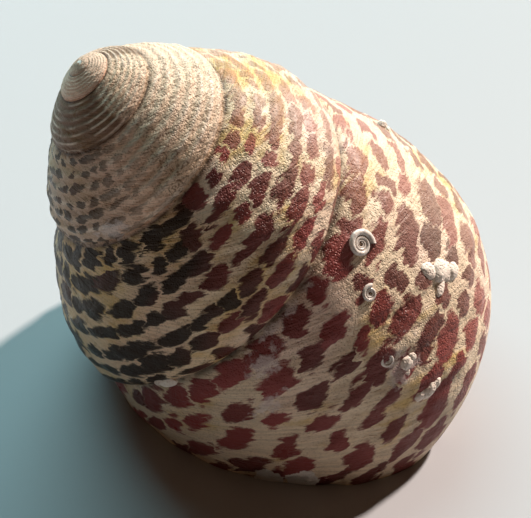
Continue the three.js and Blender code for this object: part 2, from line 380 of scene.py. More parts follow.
# Modelling tools
class Bench:
    """Hand tools for modelling. Each acts on the objects that it is given and on nothing else."""

    @staticmethod
    def take(*objects: bpy.types.Object) -> None:
        """Select only these objects, and make the first one active.

        Args:
            objects: Objects to select.
        """
        bpy.ops.object.select_all(action="DESELECT")
        for each in objects:
            each.select_set(True)
        bpy.context.view_layer.objects.active = objects[0]

    @staticmethod
    def named(name: str) -> bpy.types.Object:
        """Name the primitive that was added last.

        Args:
            name: Name for the object and its mesh.

        Returns:
            The primitive's object.
        """
        made = bpy.context.active_object
        made.name = name
        made.data.name = name
        return made

    @staticmethod
    def grid(name: str, columns: int, rows: int) -> tuple[bpy.types.Object, Array, Array]:
        """Add a flat grid to be shaped.

        Args:
            name: Name of the new object.
            columns: Faces along it.
            rows: Faces across it.

        Returns:
            The object, and the column and the row of each of its corners.
        """
        bpy.ops.object.select_all(action="DESELECT")
        bpy.ops.mesh.primitive_grid_add(x_subdivisions=columns, y_subdivisions=rows, size=2.0)
        made = Bench.named(name)
        points = Bench.points(made)
        column = np.rint((points[:, 0] + 1.0) / 2.0 * columns).astype(int)
        row = np.rint((points[:, 1] + 1.0) / 2.0 * rows).astype(int)
        return made, column, row

    @staticmethod
    def points(piece: bpy.types.Object) -> Array:
        """Corner points of a mesh, in metres.

        Args:
            piece: Object to read.

        Returns:
            One row for each corner.
        """
        found = np.empty(3 * len(piece.data.vertices), np.float32)
        piece.data.vertices.foreach_get("co", found)
        return found.reshape(-1, 3).astype(float)

    @staticmethod
    def shape(piece: bpy.types.Object, points: Array) -> None:
        """Move every corner of a mesh to its own point."""
        piece.data.vertices.foreach_set("co", points.astype(np.float32).ravel())
        piece.data.update()

    @staticmethod
    def delete_faces(piece: bpy.types.Object, doomed: Array) -> None:
        """Delete the faces that a mask marks, with what only they use.

        Args:
            piece: Object to change.
            doomed: True for each face that goes.
        """
        Bench.take(piece)
        bpy.ops.object.mode_set(mode="EDIT")
        bpy.ops.mesh.select_mode(type="FACE")
        bpy.ops.mesh.select_all(action="DESELECT")
        bpy.ops.object.mode_set(mode="OBJECT")
        piece.data.polygons.foreach_set("select", doomed)
        bpy.ops.object.mode_set(mode="EDIT")
        bpy.ops.mesh.delete(type="FACE")
        bpy.ops.object.mode_set(mode="OBJECT")

    @staticmethod
    def close(piece: bpy.types.Object, distance: float = 2e-7) -> None:
        """Weld edges that meet, fill the holes that are left and turn all faces outwards.

        Args:
            piece: Object to change.
            distance: Reach of the weld, in metres.
        """
        Bench.take(piece)
        bpy.ops.object.mode_set(mode="EDIT")
        bpy.ops.mesh.select_mode(type="VERT")
        bpy.ops.mesh.select_all(action="SELECT")
        bpy.ops.mesh.remove_doubles(threshold=distance)
        bpy.ops.mesh.select_all(action="SELECT")
        bpy.ops.mesh.fill_holes(sides=0)
        bpy.ops.mesh.select_all(action="SELECT")
        bpy.ops.mesh.normals_make_consistent(inside=False)
        bpy.ops.object.mode_set(mode="OBJECT")

    @staticmethod
    def combine(piece: bpy.types.Object, other: bpy.types.Object, way: Cut) -> None:
        """Cut or join one closed mesh with another, which is used up.

        Args:
            piece: Object to change.
            other: Object that cuts it or joins it.
            way: Whether it cuts or joins.
        """
        Bench.take(piece)
        step = piece.modifiers.new("combine", "BOOLEAN")
        step.operation = way.value
        step.solver = "MANIFOLD"
        step.object = other
        bpy.ops.object.modifier_apply(modifier=step.name)
        bpy.data.objects.remove(other)

    @staticmethod
    def smooth(piece: bpy.types.Object, angle_deg: float) -> None:
        """Shade smooth, apart from edges sharper than an angle."""
        Bench.take(piece)
        bpy.ops.object.shade_smooth_by_angle(angle=math.radians(angle_deg))


# Finishes
class Wiring:
    """Adds nodes to one tree and joins them."""

    def __init__(self, tree: bpy.types.NodeTree) -> None:
        """Start on an empty tree."""
        self.tree = tree

    def add(self, kind: str, **settings: object) -> bpy.types.Node:
        """Add a node and set its options.

        Args:
            kind: Blender's name for the node.
            settings: Options and their values.

        Returns:
            The node.
        """
        made = self.tree.nodes.new(kind)
        for name, value in settings.items():
            setattr(made, name, value)
        return made

    def feed(self, socket: Socket, value: object) -> None:
        """Join a socket to another one, or set its own value.

        Args:
            socket: Input to feed.
            value: Output, number, vector or colour.
        """
        if isinstance(value, bpy.types.NodeSocket):
            self.tree.links.new(value, socket)
        elif isinstance(value, tuple) and len(value) == 3 and socket.type == "RGBA":
            socket.default_value = (*value, 1.0)
        else:
            socket.default_value = value

    def math(self, operation: str, *values: object, clamp: bool = False) -> Socket:
        """One sum of numbers or sockets.

        Args:
            operation: Blender's name for the sum.
            values: Numbers or sockets.
            clamp: Whether the result is kept from 0 to 1.

        Returns:
            The result.
        """
        made = self.add("ShaderNodeMath", operation=operation, use_clamp=clamp)
        for socket, value in zip(made.inputs, values):
            self.feed(socket, value)
        return made.outputs[0]

    def scaled(self, value: Socket, factor: float, offset: float = 0.0) -> Socket:
        """A value times a factor, plus an offset."""
        return self.math("MULTIPLY_ADD", value, factor, offset)

    def step(self, value: object, low: object, high: object, start: float = 0.0, end: float = 1.0) -> Socket:
        """Smooth step of a value from start at low to end at high.

        Args:
            value: Value to step.
            low: Where the step starts.
            high: Where the step ends.
            start: Result before the step.
            end: Result after the step.

        Returns:
            The stepped value.
        """
        made = self.add("ShaderNodeMapRange", interpolation_type="SMOOTHSTEP")
        for socket, each in zip(made.inputs, (value, low, high, start, end)):
            self.feed(socket, each)
        return made.outputs[0]

    def band(self, value: Socket, rise: Span, fall: Span) -> Socket:
        """Value of 1 between two soft edges, and 0 outside them."""
        return self.math("MULTIPLY", self.step(value, *rise), self.step(value, *fall))

    def mix(self, share: object, first: object, second: object, way: str = "MIX") -> Socket:
        """Blend of two colours.

        Args:
            share: Share of the second colour.
            first: First colour.
            second: Second colour.
            way: Blender's name for the blend.

        Returns:
            The blended colour.
        """
        made = self.add("ShaderNodeMix", data_type="RGBA", blend_type=way)
        for index, each in ((0, share), (6, first), (7, second)):
            self.feed(made.inputs[index], each)
        return made.outputs[2]

    def vector(self, x: object, y: object, z: object = 0.0) -> Socket:
        """Vector from three numbers or sockets.

        Args:
            x: First part.
            y: Second part.
            z: Third part.

        Returns:
            The vector.
        """
        made = self.add("ShaderNodeCombineXYZ")
        for socket, each in zip(made.inputs, (x, y, z)):
            self.feed(socket, each)
        return made.outputs[0]

    def split(self, colour: Socket) -> tuple[Socket, ...]:
        """Red, green and blue of a colour.

        Args:
            colour: Colour to split.

        Returns:
            Three values.
        """
        made = self.add("ShaderNodeSeparateColor")
        self.feed(made.inputs[0], colour)
        return tuple(made.outputs)

    def noise_node(self, vector: Socket, scale: object, detail: float, roughness: float) -> bpy.types.Node:
        """Cloudy noise with its value and colour outputs.

        Args:
            vector: Where the noise is read.
            scale: Waves in each unit of the vector.
            detail: Finer waves on top.
            roughness: Strength of the finer waves.

        Returns:
            The noise node.
        """
        made = self.add("ShaderNodeTexNoise")
        settings = {"Vector": vector, "Scale": scale, "Detail": detail, "Roughness": roughness}
        for name, value in settings.items():
            self.feed(made.inputs[name], value)
        return made

    def noise(self, vector: Socket, scale: object, detail: float = 2.0, roughness: float = 0.5) -> Socket:
        """Cloudy noise as one value from about 0 to 1."""
        return self.noise_node(vector, scale, detail, roughness).outputs[0]

    def cells(self, vector: Socket, scale: object, spread: float) -> bpy.types.Node:
        """Cell pattern with its distance and colour outputs.

        Args:
            vector: Where the pattern is read.
            scale: Cells in each unit of the vector.
            spread: How unevenly the cells lie, from 0 to 1.

        Returns:
            The pattern node.
        """
        made = self.add("ShaderNodeTexVoronoi", voronoi_dimensions="3D")
        for name, value in (("Vector", vector), ("Scale", scale), ("Randomness", spread)):
            self.feed(made.inputs[name], value)
        return made


@dataclass(frozen=True)
class Clouds:
    """Cloudy noise on the whorl map, by its waves a turn and its waves down the flank."""

    a_turn: float
    a_flank: float
    turn_shift: float = 0.0
    flank_shift: float = 0.0
    detail: float = 2.0
    roughness: float = 0.5

    def node(self, wires: Wiring, turn: Socket, down: Socket) -> bpy.types.Node:
        """Place the noise in a node tree.

        Args:
            wires: Wiring of the tree.
            turn: Turns about the axis.
            down: Place on the flank.

        Returns:
            The noise node.
        """
        across = wires.scaled(turn, self.a_turn, self.turn_shift)
        along = wires.scaled(down, self.a_flank, self.flank_shift)
        return wires.noise_node(wires.vector(across, along), 1.0, self.detail, self.roughness)

    def value(self, wires: Wiring, turn: Socket, down: Socket) -> Socket:
        """The noise as one value from about 0 to 1."""
        return self.node(wires, turn, down).outputs[0]


class SharedEffects:
    """Node groups for the finishes, each made once."""

    fine_lines = Clouds(300.0, 5.0, detail=3.0, roughness=0.6)
    wide_streaks = Clouds(90.0, 2.2, detail=3.0, roughness=0.55)

    @staticmethod
    def start(
        name: str, inputs: tuple[tuple[str, str], ...], outputs: tuple[tuple[str, str], ...]
    ) -> tuple[bpy.types.NodeTree, Wiring | None, bpy.types.Node | None, bpy.types.Node | None]:
        """Make an empty group with named sockets.

        Args:
            name: Name of the group.
            inputs: Name and kind of each input.
            outputs: Name and kind of each output.

        Returns:
            The group, its wiring, and its input and output nodes. The last three are None if it exists.
        """
        if name in bpy.data.node_groups:
            return bpy.data.node_groups[name], None, None, None
        group = bpy.data.node_groups.new(name, "ShaderNodeTree")
        for label, kind in inputs:
            group.interface.new_socket(label, in_out="INPUT", socket_type="NodeSocket" + kind)
        for label, kind in outputs:
            group.interface.new_socket(label, in_out="OUTPUT", socket_type="NodeSocket" + kind)
        wires = Wiring(group)
        return group, wires, wires.add("NodeGroupInput"), wires.add("NodeGroupOutput")

    @staticmethod
    def grain() -> bpy.types.NodeTree:
        """Limy grain: fine pits and grit, by Object coordinates.

        Returns:
            The group.
        """
        sockets = (("Vector", "Vector"), ("Scale", "Float")), (("Height", "Float"), ("Pits", "Float"))
        group, wires, source, result = SharedEffects.start("limy grain", *sockets)
        if wires is None:
            return group
        place, scale = source.outputs["Vector"], source.outputs["Scale"]
        pits = wires.cells(place, scale, 1.0)
        fine = wires.noise(place, wires.scaled(scale, 0.55), 4.0, 0.65)
        pit = wires.step(pits.outputs["Distance"], 0.12, 0.5)
        wires.feed(result.inputs["Height"], wires.math("MULTIPLY_ADD", pit, 0.55, fine))
        wires.feed(result.inputs["Pits"], wires.math("SUBTRACT", 1.0, pit))
        return group

    @staticmethod
    def growth_lines() -> bpy.types.NodeTree:
        """Fine lines that follow the lip's edge, by turn grown and place down the flank.

        Returns:
            The group.
        """
        sockets = (("Grown", "Float"), ("Down", "Float")), (("Lines", "Float"), ("Streaks", "Float"))
        group, wires, source, result = SharedEffects.start("growth lines", *sockets)
        if wires is None:
            return group
        grown, down = source.outputs["Grown"], source.outputs["Down"]
        wires.feed(result.inputs["Lines"], SharedEffects.fine_lines.value(wires, grown, down))
        wires.feed(result.inputs["Streaks"], SharedEffects.wide_streaks.value(wires, grown, down))
        return group


class Finish:
    """A material with one Principled shader, built by the finish's own dress method."""

    name: str = "finish"

    def material(self) -> bpy.types.Material:
        """Make the material.

        Returns:
            The material.
        """
        made = bpy.data.materials.new(self.name)
        made.use_nodes = True
        tree = made.node_tree
        tree.nodes.clear()
        wires = Wiring(tree)
        shader = wires.add("ShaderNodeBsdfPrincipled")
        output = wires.add("ShaderNodeOutputMaterial")
        wires.feed(output.inputs["Surface"], shader.outputs[0])
        self.dress(wires, shader)
        return made

    def dress(self, wires: Wiring, shader: bpy.types.Node) -> None:
        """Feed the shader. Each finish has its own way."""
        raise NotImplementedError

    @staticmethod
    def object_place(wires: Wiring) -> Socket:
        """Object coordinates, in metres."""
        return wires.add("ShaderNodeTexCoord").outputs["Object"]

    @staticmethod
    def effect(wires: Wiring, group: bpy.types.NodeTree, **inputs: object) -> bpy.types.Node:
        """Place a shared effect with its own values.

        Args:
            wires: Wiring of the material.
            group: The effect.
            inputs: Value or socket for each named input.

        Returns:
            The group's node.
        """
        made = wires.add("ShaderNodeGroup", node_tree=group)
        for label, value in inputs.items():
            wires.feed(made.inputs[label], value)
        return made

    @staticmethod
    def bump(wires: Wiring, shader: bpy.types.Node, height: Socket, distance_mm: float) -> None:
        """Raise the surface by a height from 0 to about 1.

        Args:
            wires: Wiring of the material.
            shader: Its Principled shader.
            height: Height to raise by.
            distance_mm: Full height, in millimetres.
        """
        made = wires.add("ShaderNodeBump")
        made.inputs["Distance"].default_value = distance_mm * MM
        wires.feed(made.inputs["Height"], height)
        wires.feed(shader.inputs["Normal"], made.outputs[0])


@dataclass(frozen=True)
class Surface:
    """Sockets that tell where a point of the shell is, and the effects that are shared there."""

    place: Socket
    turn: Socket
    down: Socket
    grown: Socket
    side: Socket
    lines: bpy.types.Node
    grain: bpy.types.Node


@dataclass(frozen=True)
class SpottedShell(Finish):
    """Outside of the shell: cream and ochre ground, rows of dark red-brown spots, and a worn pale tip, with
    painted shade along the sutures and on the shaded side, and painted sheen where the spots turn paler.

    A smear has its turn, its place on the flank and its half sizes there. A flaked place has its point and
    its reach, in metres.
    """

    name: str = "spotted_shell"
    cream: Colour = (0.83, 0.66, 0.48)
    ochre: Colour = (0.70, 0.48, 0.18)
    blush: Colour = (0.82, 0.60, 0.50)
    maroon: Colour = (0.35, 0.055, 0.058)
    # Darkest spot colour, also used for painted shade.
    umber: Colour = (0.014, 0.005, 0.003)
    tan: Colour = (0.19, 0.10, 0.058)
    ivory: Colour = (0.95, 0.68, 0.52)
    sand: Colour = (0.84, 0.64, 0.48)
    flesh: Colour = (0.84, 0.60, 0.46)
    bone: Colour = (0.92, 0.78, 0.66)
    lilac: Colour = (0.76, 0.66, 0.63)
    lime: Colour = (0.84, 0.78, 0.72)
    rows: float = 7.0
    spots_a_turn: float = 29.0
    roughness: tuple[float, float] = (0.26, 0.5)
    specular: float = 0.17
    gloss: float = 0.05
    coat_roughness: float = 0.3
    grain_scale: float = 7500.0
    relief_mm: float = 0.13
    fuzz: Clouds = Clouds(48.0, 11.0, detail=3.0, roughness=0.6)
    drift: Clouds = Clouds(9.0, 3.7)
    patches: Clouds = Clouds(9.0, 2.6, turn_shift=5.0, flank_shift=3.0)
    mottle: Clouds = Clouds(13.0, 3.2, flank_shift=11.0, detail=3.0, roughness=0.6)
    veil: Clouds = Clouds(7.0, 2.0, turn_shift=19.0)
    young_turns: Span = (-1.6, -1.3)
    spotted_turns: Span = (-2.12, -1.85)
    umber_turns: Span = (-1.4, -1.6)
    worn_turns: Span = (-1.45, -2.0)
    oldest_turns: Span = (-2.35, -2.6)
    nub_turns: Span = (-3.3, -3.5)
    # Turns of the penultimate whorl's shaded front and left, where spots are painted larger and umber as
    # painted shade.
    shade_turns: Band = ((-1.1, -0.92), (-0.45, -0.62))
    # Turns where the ground is painted warmer and darker, as painted shade.
    warm_shade_turns: Band = ((-1.1, -0.85), (-0.4, -0.6))
    # Side where the spots are painted paler, as painted sheen from the key light.
    sheen_side: Band = ((0.5, 0.6), (0.9, 0.74))
    sandy_side: Band = ((0.68, 0.8), (1.0, 0.92))
    # Side of the old whorls that is painted tan, as painted shade.
    shade_side: Band = ((0.0, 0.12), (0.55, 0.4))
    bare_base: Span = (1.5, 1.72)
    spot_edge: Span = (1.5, 0.85)
    spot_squareness: float = 2.1
    smears: tuple[tuple[float, float, float, float], ...] = (
        (-0.005, 0.09, 0.035, 0.10),
        (0.012, 0.26, 0.03, 0.07),
        (-0.919, 0.95, 0.03, 0.07),
        (-0.09, 0.60, 0.035, 0.13),
        (-1.93, 0.85, 0.05, 0.2),
        (-0.045, 0.02, 0.06, 0.035),
    )
    flaked: tuple[tuple[float, float, float, float], ...] = (
        (0.0024, -0.0113, 0.0006, 0.0010),
        (0.0006, -0.0112, 0.0004, 0.0009),
    )

    def dress(self, wires: Wiring, shader: bpy.types.Node) -> None:
        """Feed the shader from the whorl map and Object coordinates.

        Args:
            wires: Wiring of the material.
            shader: Its Principled shader.
        """
        at = self.surface(wires)
        film = self.film(wires, at)
        wires.feed(shader.inputs["Base Color"], self.colour(wires, at, film))
        wear = wires.noise(at.place, 900.0, 3.0, 0.6)
        wires.feed(shader.inputs["Roughness"], wires.step(wear, 0.3, 0.7, *self.roughness))
        shader.inputs["Specular IOR Level"].default_value = self.specular
        shader.inputs["Coat Weight"].default_value = self.gloss
        shader.inputs["Coat Roughness"].default_value = self.coat_roughness
        lines, streaks = at.lines.outputs["Lines"], at.lines.outputs["Streaks"]
        folds = wires.noise(at.place, 1300.0)
        height = wires.scaled(at.grain.outputs["Height"], 0.4)
        for form, share in ((lines, 0.35), (streaks, 0.9), (folds, 1.3), (film, 0.5)):
            height = wires.math("MULTIPLY_ADD", form, share, height)
        self.bump(wires, shader, height, self.relief_mm)

    def surface(self, wires: Wiring) -> Surface:
        """Read the whorl map and Object coordinates, and place the shared effects.

        Args:
            wires: Wiring of the material.

        Returns:
            The sockets that the other methods read.
        """
        place = self.object_place(wires)
        whorl = wires.add("ShaderNodeUVMap", uv_map=WHORL_MAP)
        parts = wires.add("ShaderNodeSeparateXYZ")
        wires.feed(parts.inputs[0], whorl.outputs[0])
        turn, down = parts.outputs[0], parts.outputs[1]
        grown = wires.math("SUBTRACT", turn, self.lag(wires, down))
        lines = self.effect(wires, SharedEffects.growth_lines(), Grown=grown, Down=down)
        grain = self.effect(wires, SharedEffects.grain(), Vector=place, Scale=self.grain_scale)
        return Surface(place, turn, down, grown, wires.math("FRACT", turn), lines, grain)

    def colour(self, wires: Wiring, at: Surface, film: Socket) -> Socket:
        """Colour of the outside, from the ground up to the films on it, with painted shade along the
        sutures.

        Args:
            wires: Wiring of the material.
            at: Sockets of the surface.
            film: Mask of the dried films.

        Returns:
            The colour.
        """
        spots, tone = self.spots(wires, at)
        dark = wires.mix(tone, self.maroon, self.umber)
        colour = wires.mix(spots, self.ground(wires, at), dark)
        colour = wires.mix(wires.step(at.down, *self.bare_base), colour, self.bone)
        # Painted shade: a dark umber line along the sutures, broken up by noise, where the groove lies in
        # shade.
        above_rim = wires.step(at.down, 0.955, 1.0)
        below = wires.math("MULTIPLY", above_rim, wires.step(at.turn, -0.75, -0.95))
        suture_shade = wires.math("MAXIMUM", wires.step(at.down, 0.035, 0.0), below)
        shade_patchiness = wires.step(wires.noise(at.place, 1100.0), 0.3, 0.6, 0.25, 0.8)
        colour = wires.mix(wires.math("MULTIPLY", suture_shade, shade_patchiness), colour, self.umber)
        colour = wires.mix(film, colour, self.lilac)
        return wires.mix(self.flakes(wires, at), colour, self.lime)

    def spots(self, wires: Wiring, at: Surface) -> tuple[Socket, Socket]:
        """Dark spots, one in each cell of a bent grid that follows the rows and the lip's edge. They are
        painted paler on the side that faces the key light as painted sheen, and larger and near-black on the
        shaded front and left of the penultimate whorl as painted shade.

        Args:
            wires: Wiring of the material.
            at: Sockets of the surface.

        Returns:
            Mask of the spots, and how brown each one is; the umber on the penultimate whorl's shaded side is
            painted shade.
        """
        bent = wires.split(self.fuzz.node(wires, at.grown, at.down).outputs["Color"])
        line = wires.math("MULTIPLY_ADD", at.down, self.rows, wires.scaled(bent[1], 1.0, -0.5))
        row = wires.math("FLOOR", line)
        centre = wires.math("DIVIDE", wires.math("ADD", row, 0.5), self.rows)
        drift = self.drift.value(wires, at.turn, row)
        ahead = wires.math("SUBTRACT", at.turn, self.lag(wires, centre))
        column = wires.math("MULTIPLY_ADD", ahead, self.spots_a_turn, wires.scaled(drift, 2.6))
        column = wires.math("MULTIPLY_ADD", bent[0], 1.1, column)
        cell = wires.math("FLOOR", column)
        chance = wires.add("ShaderNodeTexWhiteNoise", noise_dimensions="2D")
        cell_key = wires.vector(wires.math("ADD", cell, 0.5), wires.math("ADD", row, 0.5))
        wires.feed(chance.inputs["Vector"], cell_key)
        shares = wires.split(chance.outputs["Color"])
        patch = self.patches.value(wires, at.turn, at.down)
        young = wires.step(at.turn, *self.young_turns)
        # Painted shade: on the penultimate whorl's shaded front and left, the spots are larger and turn
        # near-black umber.
        in_shade = wires.band(at.turn, *self.shade_turns)
        size = wires.math("MULTIPLY_ADD", patch, 1.0, wires.scaled(young, 0.2, 0.42))
        size = wires.math("MULTIPLY_ADD", in_shade, 0.14, size)
        along = wires.math("SUBTRACT", wires.math("FRACT", column), wires.scaled(shares[0], 0.26, 0.37))
        across = wires.math("SUBTRACT", wires.math("FRACT", line), wires.scaled(shares[1], 0.22, 0.39))
        half_long = wires.math("MULTIPLY", size, wires.scaled(shares[2], 0.26, 0.30))
        half_wide = wires.math("MULTIPLY", size, wires.scaled(chance.outputs["Value"], 0.18, 0.25))
        long_way = self.from_centre(wires, along, half_long)
        reach = wires.math("ADD", long_way, self.from_centre(wires, across, half_wide))
        frayed = wires.math("SUBTRACT", reach, 0.3)
        reach = wires.math("MULTIPLY_ADD", at.lines.outputs["Lines"], 0.6, frayed)
        reach = wires.math("MULTIPLY_ADD", at.grain.outputs["Height"], 0.2, reach)
        mask = wires.step(reach, *self.spot_edge)
        strength = wires.step(at.turn, *self.spotted_turns)
        strength = wires.math("MULTIPLY", strength, wires.scaled(young, 0.12, 0.84))
        # Painted sheen: spots paler on the side that faces the key light, more so on the older whorls.
        sheen_band = wires.band(at.side, *self.sheen_side)
        sheen_fade = wires.math("MULTIPLY", sheen_band, wires.step(at.turn, -0.6, -0.9, 0.28, 0.5))
        strength = wires.math("MULTIPLY", strength, wires.math("SUBTRACT", 1.0, sheen_fade))
        tone = wires.math("MULTIPLY_ADD", shares[1], 0.5, wires.scaled(patch, 0.9, -0.28))
        # Umber share: painted shade on the penultimate whorl, and the older whorls' own browner dashes.
        shade_and_age = wires.math("MAXIMUM", in_shade, wires.step(at.turn, *self.umber_turns))
        tone = wires.math("MULTIPLY_ADD", shade_and_age, 0.75, tone, clamp=True)
        return wires.math("MULTIPLY", mask, strength), tone

    def from_centre(self, wires: Wiring, offset: Socket, half: Socket) -> Socket:
        """Distance from a spot's centre in one direction, 0 there and 1 at its edge.

        Args:
            wires: Wiring of the material.
            offset: Place in the cell, from the spot's centre.
            half: Half the spot's size in that direction.

        Returns:
            The distance, raised to the power that squares the spot off.
        """
        share = wires.math("ABSOLUTE", wires.math("DIVIDE", offset, half))
        return wires.math("POWER", share, self.spot_squareness)

    @staticmethod
    def lag(wires: Wiring, down: Socket) -> Socket:
        """Turns by which the lip's edge runs ahead of its middle.

        Args:
            wires: Wiring of the material.
            down: Place on the flank.

        Returns:
            The turns.
        """
        rest = wires.math("SUBTRACT", 1.0, down)
        curl = wires.math("POWER", wires.math("MAXIMUM", rest, 0.0), LIP_CURL_POWER)
        return wires.math("MULTIPLY_ADD", rest, LIP_LEAN, wires.scaled(curl, LIP_CURL, LIP_SHIFT))

    def ground(self, wires: Wiring, at: Surface) -> Socket:
        """Colour between the spots, with painted shade on the penultimate whorl's shaded side.

        Args:
            wires: Wiring of the material.
            at: Sockets of the surface.

        Returns:
            The colour.
        """
        mottle = wires.scaled(self.mottle.value(wires, at.turn, at.down), 1.0, -0.17)
        streaked = wires.math("MULTIPLY_ADD", at.lines.outputs["Streaks"], 0.35, mottle)
        streaked = wires.math("MULTIPLY_ADD", wires.step(at.turn, -0.72, -0.42), -0.09, streaked)
        colour = wires.mix(wires.step(streaked, 0.44, 0.66, 0.0, 0.9), self.cream, self.ochre)
        veil = self.veil.value(wires, at.turn, at.down)
        colour = wires.mix(wires.step(veil, 0.5, 0.68, 0.0, 0.75), colour, self.blush)
        # Painted shade: the ground on the penultimate whorl's shaded front and left is pushed towards a
        # darker, warmer ochre.
        warm_shade = wires.band(at.turn, *self.warm_shade_turns)
        colour = wires.mix(wires.scaled(warm_shade, 0.35), colour, self.ochre)
        old = wires.step(at.turn, *self.worn_turns)
        colour = wires.mix(wires.scaled(old, 0.88), colour, self.worn_tip(wires, at))
        colour = wires.mix(wires.step(at.turn, *self.nub_turns), colour, self.ivory)
        fine = wires.step(at.lines.outputs["Lines"], 0.35, 0.65, 0.86, 1.06)
        tinted = wires.mix(1.0, colour, wires.vector(fine, fine, fine), "MULTIPLY")
        shaded = wires.math("MULTIPLY", at.grain.outputs["Pits"], 0.18)
        return wires.mix(shaded, tinted, self.tan)

    def worn_tip(self, wires: Wiring, at: Surface) -> Socket:
        """Colour of the old whorls: flesh and brown, darker tan on their left side as painted shade, with
        pale rubbed cords and sandy patches.

        Args:
            wires: Wiring of the material.
            at: Sockets of the surface.

        Returns:
            The colour.
        """
        ridge = wires.math("COSINE", wires.scaled(at.down, 2.0 * math.pi * self.rows))
        rubbed = wires.noise(at.place, 420.0, 3.0, 0.6)
        crest = wires.math("MULTIPLY", wires.step(ridge, -0.3, -0.95), wires.step(rubbed, 0.38, 0.62))
        front = wires.band(at.side, *self.sandy_side)
        # Painted shade: the old whorls' left side, which lies in shade, turns darker tan.
        left_shade = wires.band(at.side, *self.shade_side)
        patchy = wires.noise(at.place, 300.0, 3.0, 0.6)
        sandy = wires.step(wires.math("MULTIPLY_ADD", front, 0.4, patchy), 0.62, 0.8)
        specks = wires.step(wires.noise(at.place, 7000.0, 3.0, 0.7), 0.48, 0.62)
        flesh = wires.mix(wires.scaled(left_shade, 0.45), self.flesh, self.tan)
        flesh = wires.mix(sandy, flesh, self.sand)
        oldest = wires.step(at.turn, *self.oldest_turns)
        worn = wires.mix(oldest, flesh, wires.mix(sandy, self.tan, self.sand))
        worn = wires.mix(wires.scaled(crest, 0.85), worn, self.bone)
        speckled = wires.math("MULTIPLY", specks, wires.scaled(sandy, 0.72, 0.08))
        return wires.mix(speckled, worn, self.tan)

    def film(self, wires: Wiring, at: Surface) -> Socket:
        """Mask of the dried lilac-white films, each with a ragged edge.

        Args:
            wires: Wiring of the material.
            at: Sockets of the surface.

        Returns:
            The mask.
        """
        torn = wires.noise(at.place, 1500.0, 4.0, 0.65)
        whole: object = 0.0
        for at_turn, at_down, half_turn, half_down in self.smears:
            across = wires.scaled(at.turn, 1.0 / half_turn, -at_turn / half_turn)
            along = wires.scaled(at.down, 1.0 / half_down, -at_down / half_down)
            square = wires.math("MULTIPLY", across, across)
            reach = wires.math("SQRT", wires.math("MULTIPLY_ADD", along, along, square))
            ragged = wires.math("MULTIPLY_ADD", torn, 2.6, wires.scaled(reach, -1.0, -0.75))
            whole = wires.math("MAXIMUM", whole, wires.step(ragged, -0.1, 0.35, 0.0, 0.6))
        return whole

    def flakes(self, wires: Wiring, at: Surface) -> Socket:
        """Mask of the white layer bared along the broken lip.

        Args:
            wires: Wiring of the material.
            at: Sockets of the surface.

        Returns:
            The mask.
        """
        torn = wires.noise(at.place, 1800.0, 3.0, 0.6)
        whole: object = 0.0
        for x, y, z, reach in self.flaked:
            gap = wires.add("ShaderNodeVectorMath", operation="DISTANCE")
            wires.feed(gap.inputs[0], at.place)
            gap.inputs[1].default_value = (x, y, z)
            ragged = wires.math("MULTIPLY_ADD", torn, 0.9 * reach, gap.outputs["Value"])
            whole = wires.math("MAXIMUM", whole, wires.step(ragged, 1.5 * reach, 1.4 * reach))
        return whole


@dataclass(frozen=True)
class Nacre(Finish):
    """Pearly inside of the mouth."""

    name: str = "nacre"
    pearl: Colour = (0.74, 0.70, 0.65)
    rose: Colour = (0.72, 0.58, 0.55)
    sea: Colour = (0.56, 0.66, 0.60)
    relief_mm: float = 0.03
    roughness: float = 0.24
    coat: float = 0.5

    def dress(self, wires: Wiring, shader: bpy.types.Node) -> None:
        """Feed the shader with bands of soft colour.

        Args:
            wires: Wiring of the material.
            shader: Its Principled shader.
        """
        place = self.object_place(wires)
        warm_shade = wires.noise(place, 260.0, 2.0)
        cool = wires.noise(place, 420.0, 3.0, 0.6)
        colour = wires.mix(wires.step(warm_shade, 0.45, 0.7), self.pearl, self.rose)
        colour = wires.mix(wires.step(cool, 0.52, 0.72, 0.0, 0.7), colour, self.sea)
        wires.feed(shader.inputs["Base Color"], colour)
        shader.inputs["Roughness"].default_value = self.roughness
        shader.inputs["Coat Weight"].default_value = self.coat
        self.bump(wires, shader, wires.noise(place, 700.0, 3.0), self.relief_mm)


@dataclass(frozen=True)
class LimyLayer(Finish):
    """Chalky white lime, as on a broken lip or in a crust."""

    name: str = "limy_layer"
    chalk: Colour = (0.88, 0.77, 0.68)
    stain: Colour = (0.52, 0.42, 0.36)
    stained: float = 0.5
    relief_mm: float = 0.05
    grain_scale: float = 6000.0
    roughness: float = 0.7

    def dress(self, wires: Wiring, shader: bpy.types.Node) -> None:
        """Feed the shader with chalk and grey stains.

        Args:
            wires: Wiring of the material.
            shader: Its Principled shader.
        """
        place = self.object_place(wires)
        grain = self.effect(wires, SharedEffects.grain(), Vector=place, Scale=self.grain_scale)
        cloud = wires.noise(place, 1300.0, 3.0, 0.6)
        share = wires.step(cloud, 0.42, 0.72, 0.0, self.stained)
        share = wires.math("MULTIPLY_ADD", grain.outputs["Pits"], 0.25, share, clamp=True)
        wires.feed(shader.inputs["Base Color"], wires.mix(share, self.chalk, self.stain))
        shader.inputs["Roughness"].default_value = self.roughness
        self.bump(wires, shader, grain.outputs["Height"], self.relief_mm)


@dataclass(frozen=True)
class GlossyTube(Finish):
    """Smooth glassy lime of a worm's tube."""

    name: str = "worm_tube_lime"
    white: Colour = (0.80, 0.72, 0.66)
    grey: Colour = (0.50, 0.44, 0.42)
    relief_mm: float = 0.03
    roughness: float = 0.2
    coat: float = 0.6

    def dress(self, wires: Wiring, shader: bpy.types.Node) -> None:
        """Feed the shader with white lime and grey flecks.

        Args:
            wires: Wiring of the material.
            shader: Its Principled shader.
        """
        place = self.object_place(wires)
        cloud = wires.noise(place, 3200.0, 3.0, 0.6)
        colour = wires.mix(wires.step(cloud, 0.5, 0.75), self.white, self.grey)
        wires.feed(shader.inputs["Base Color"], colour)
        shader.inputs["Roughness"].default_value = self.roughness
        shader.inputs["Coat Weight"].default_value = self.coat
        self.bump(wires, shader, cloud, self.relief_mm)


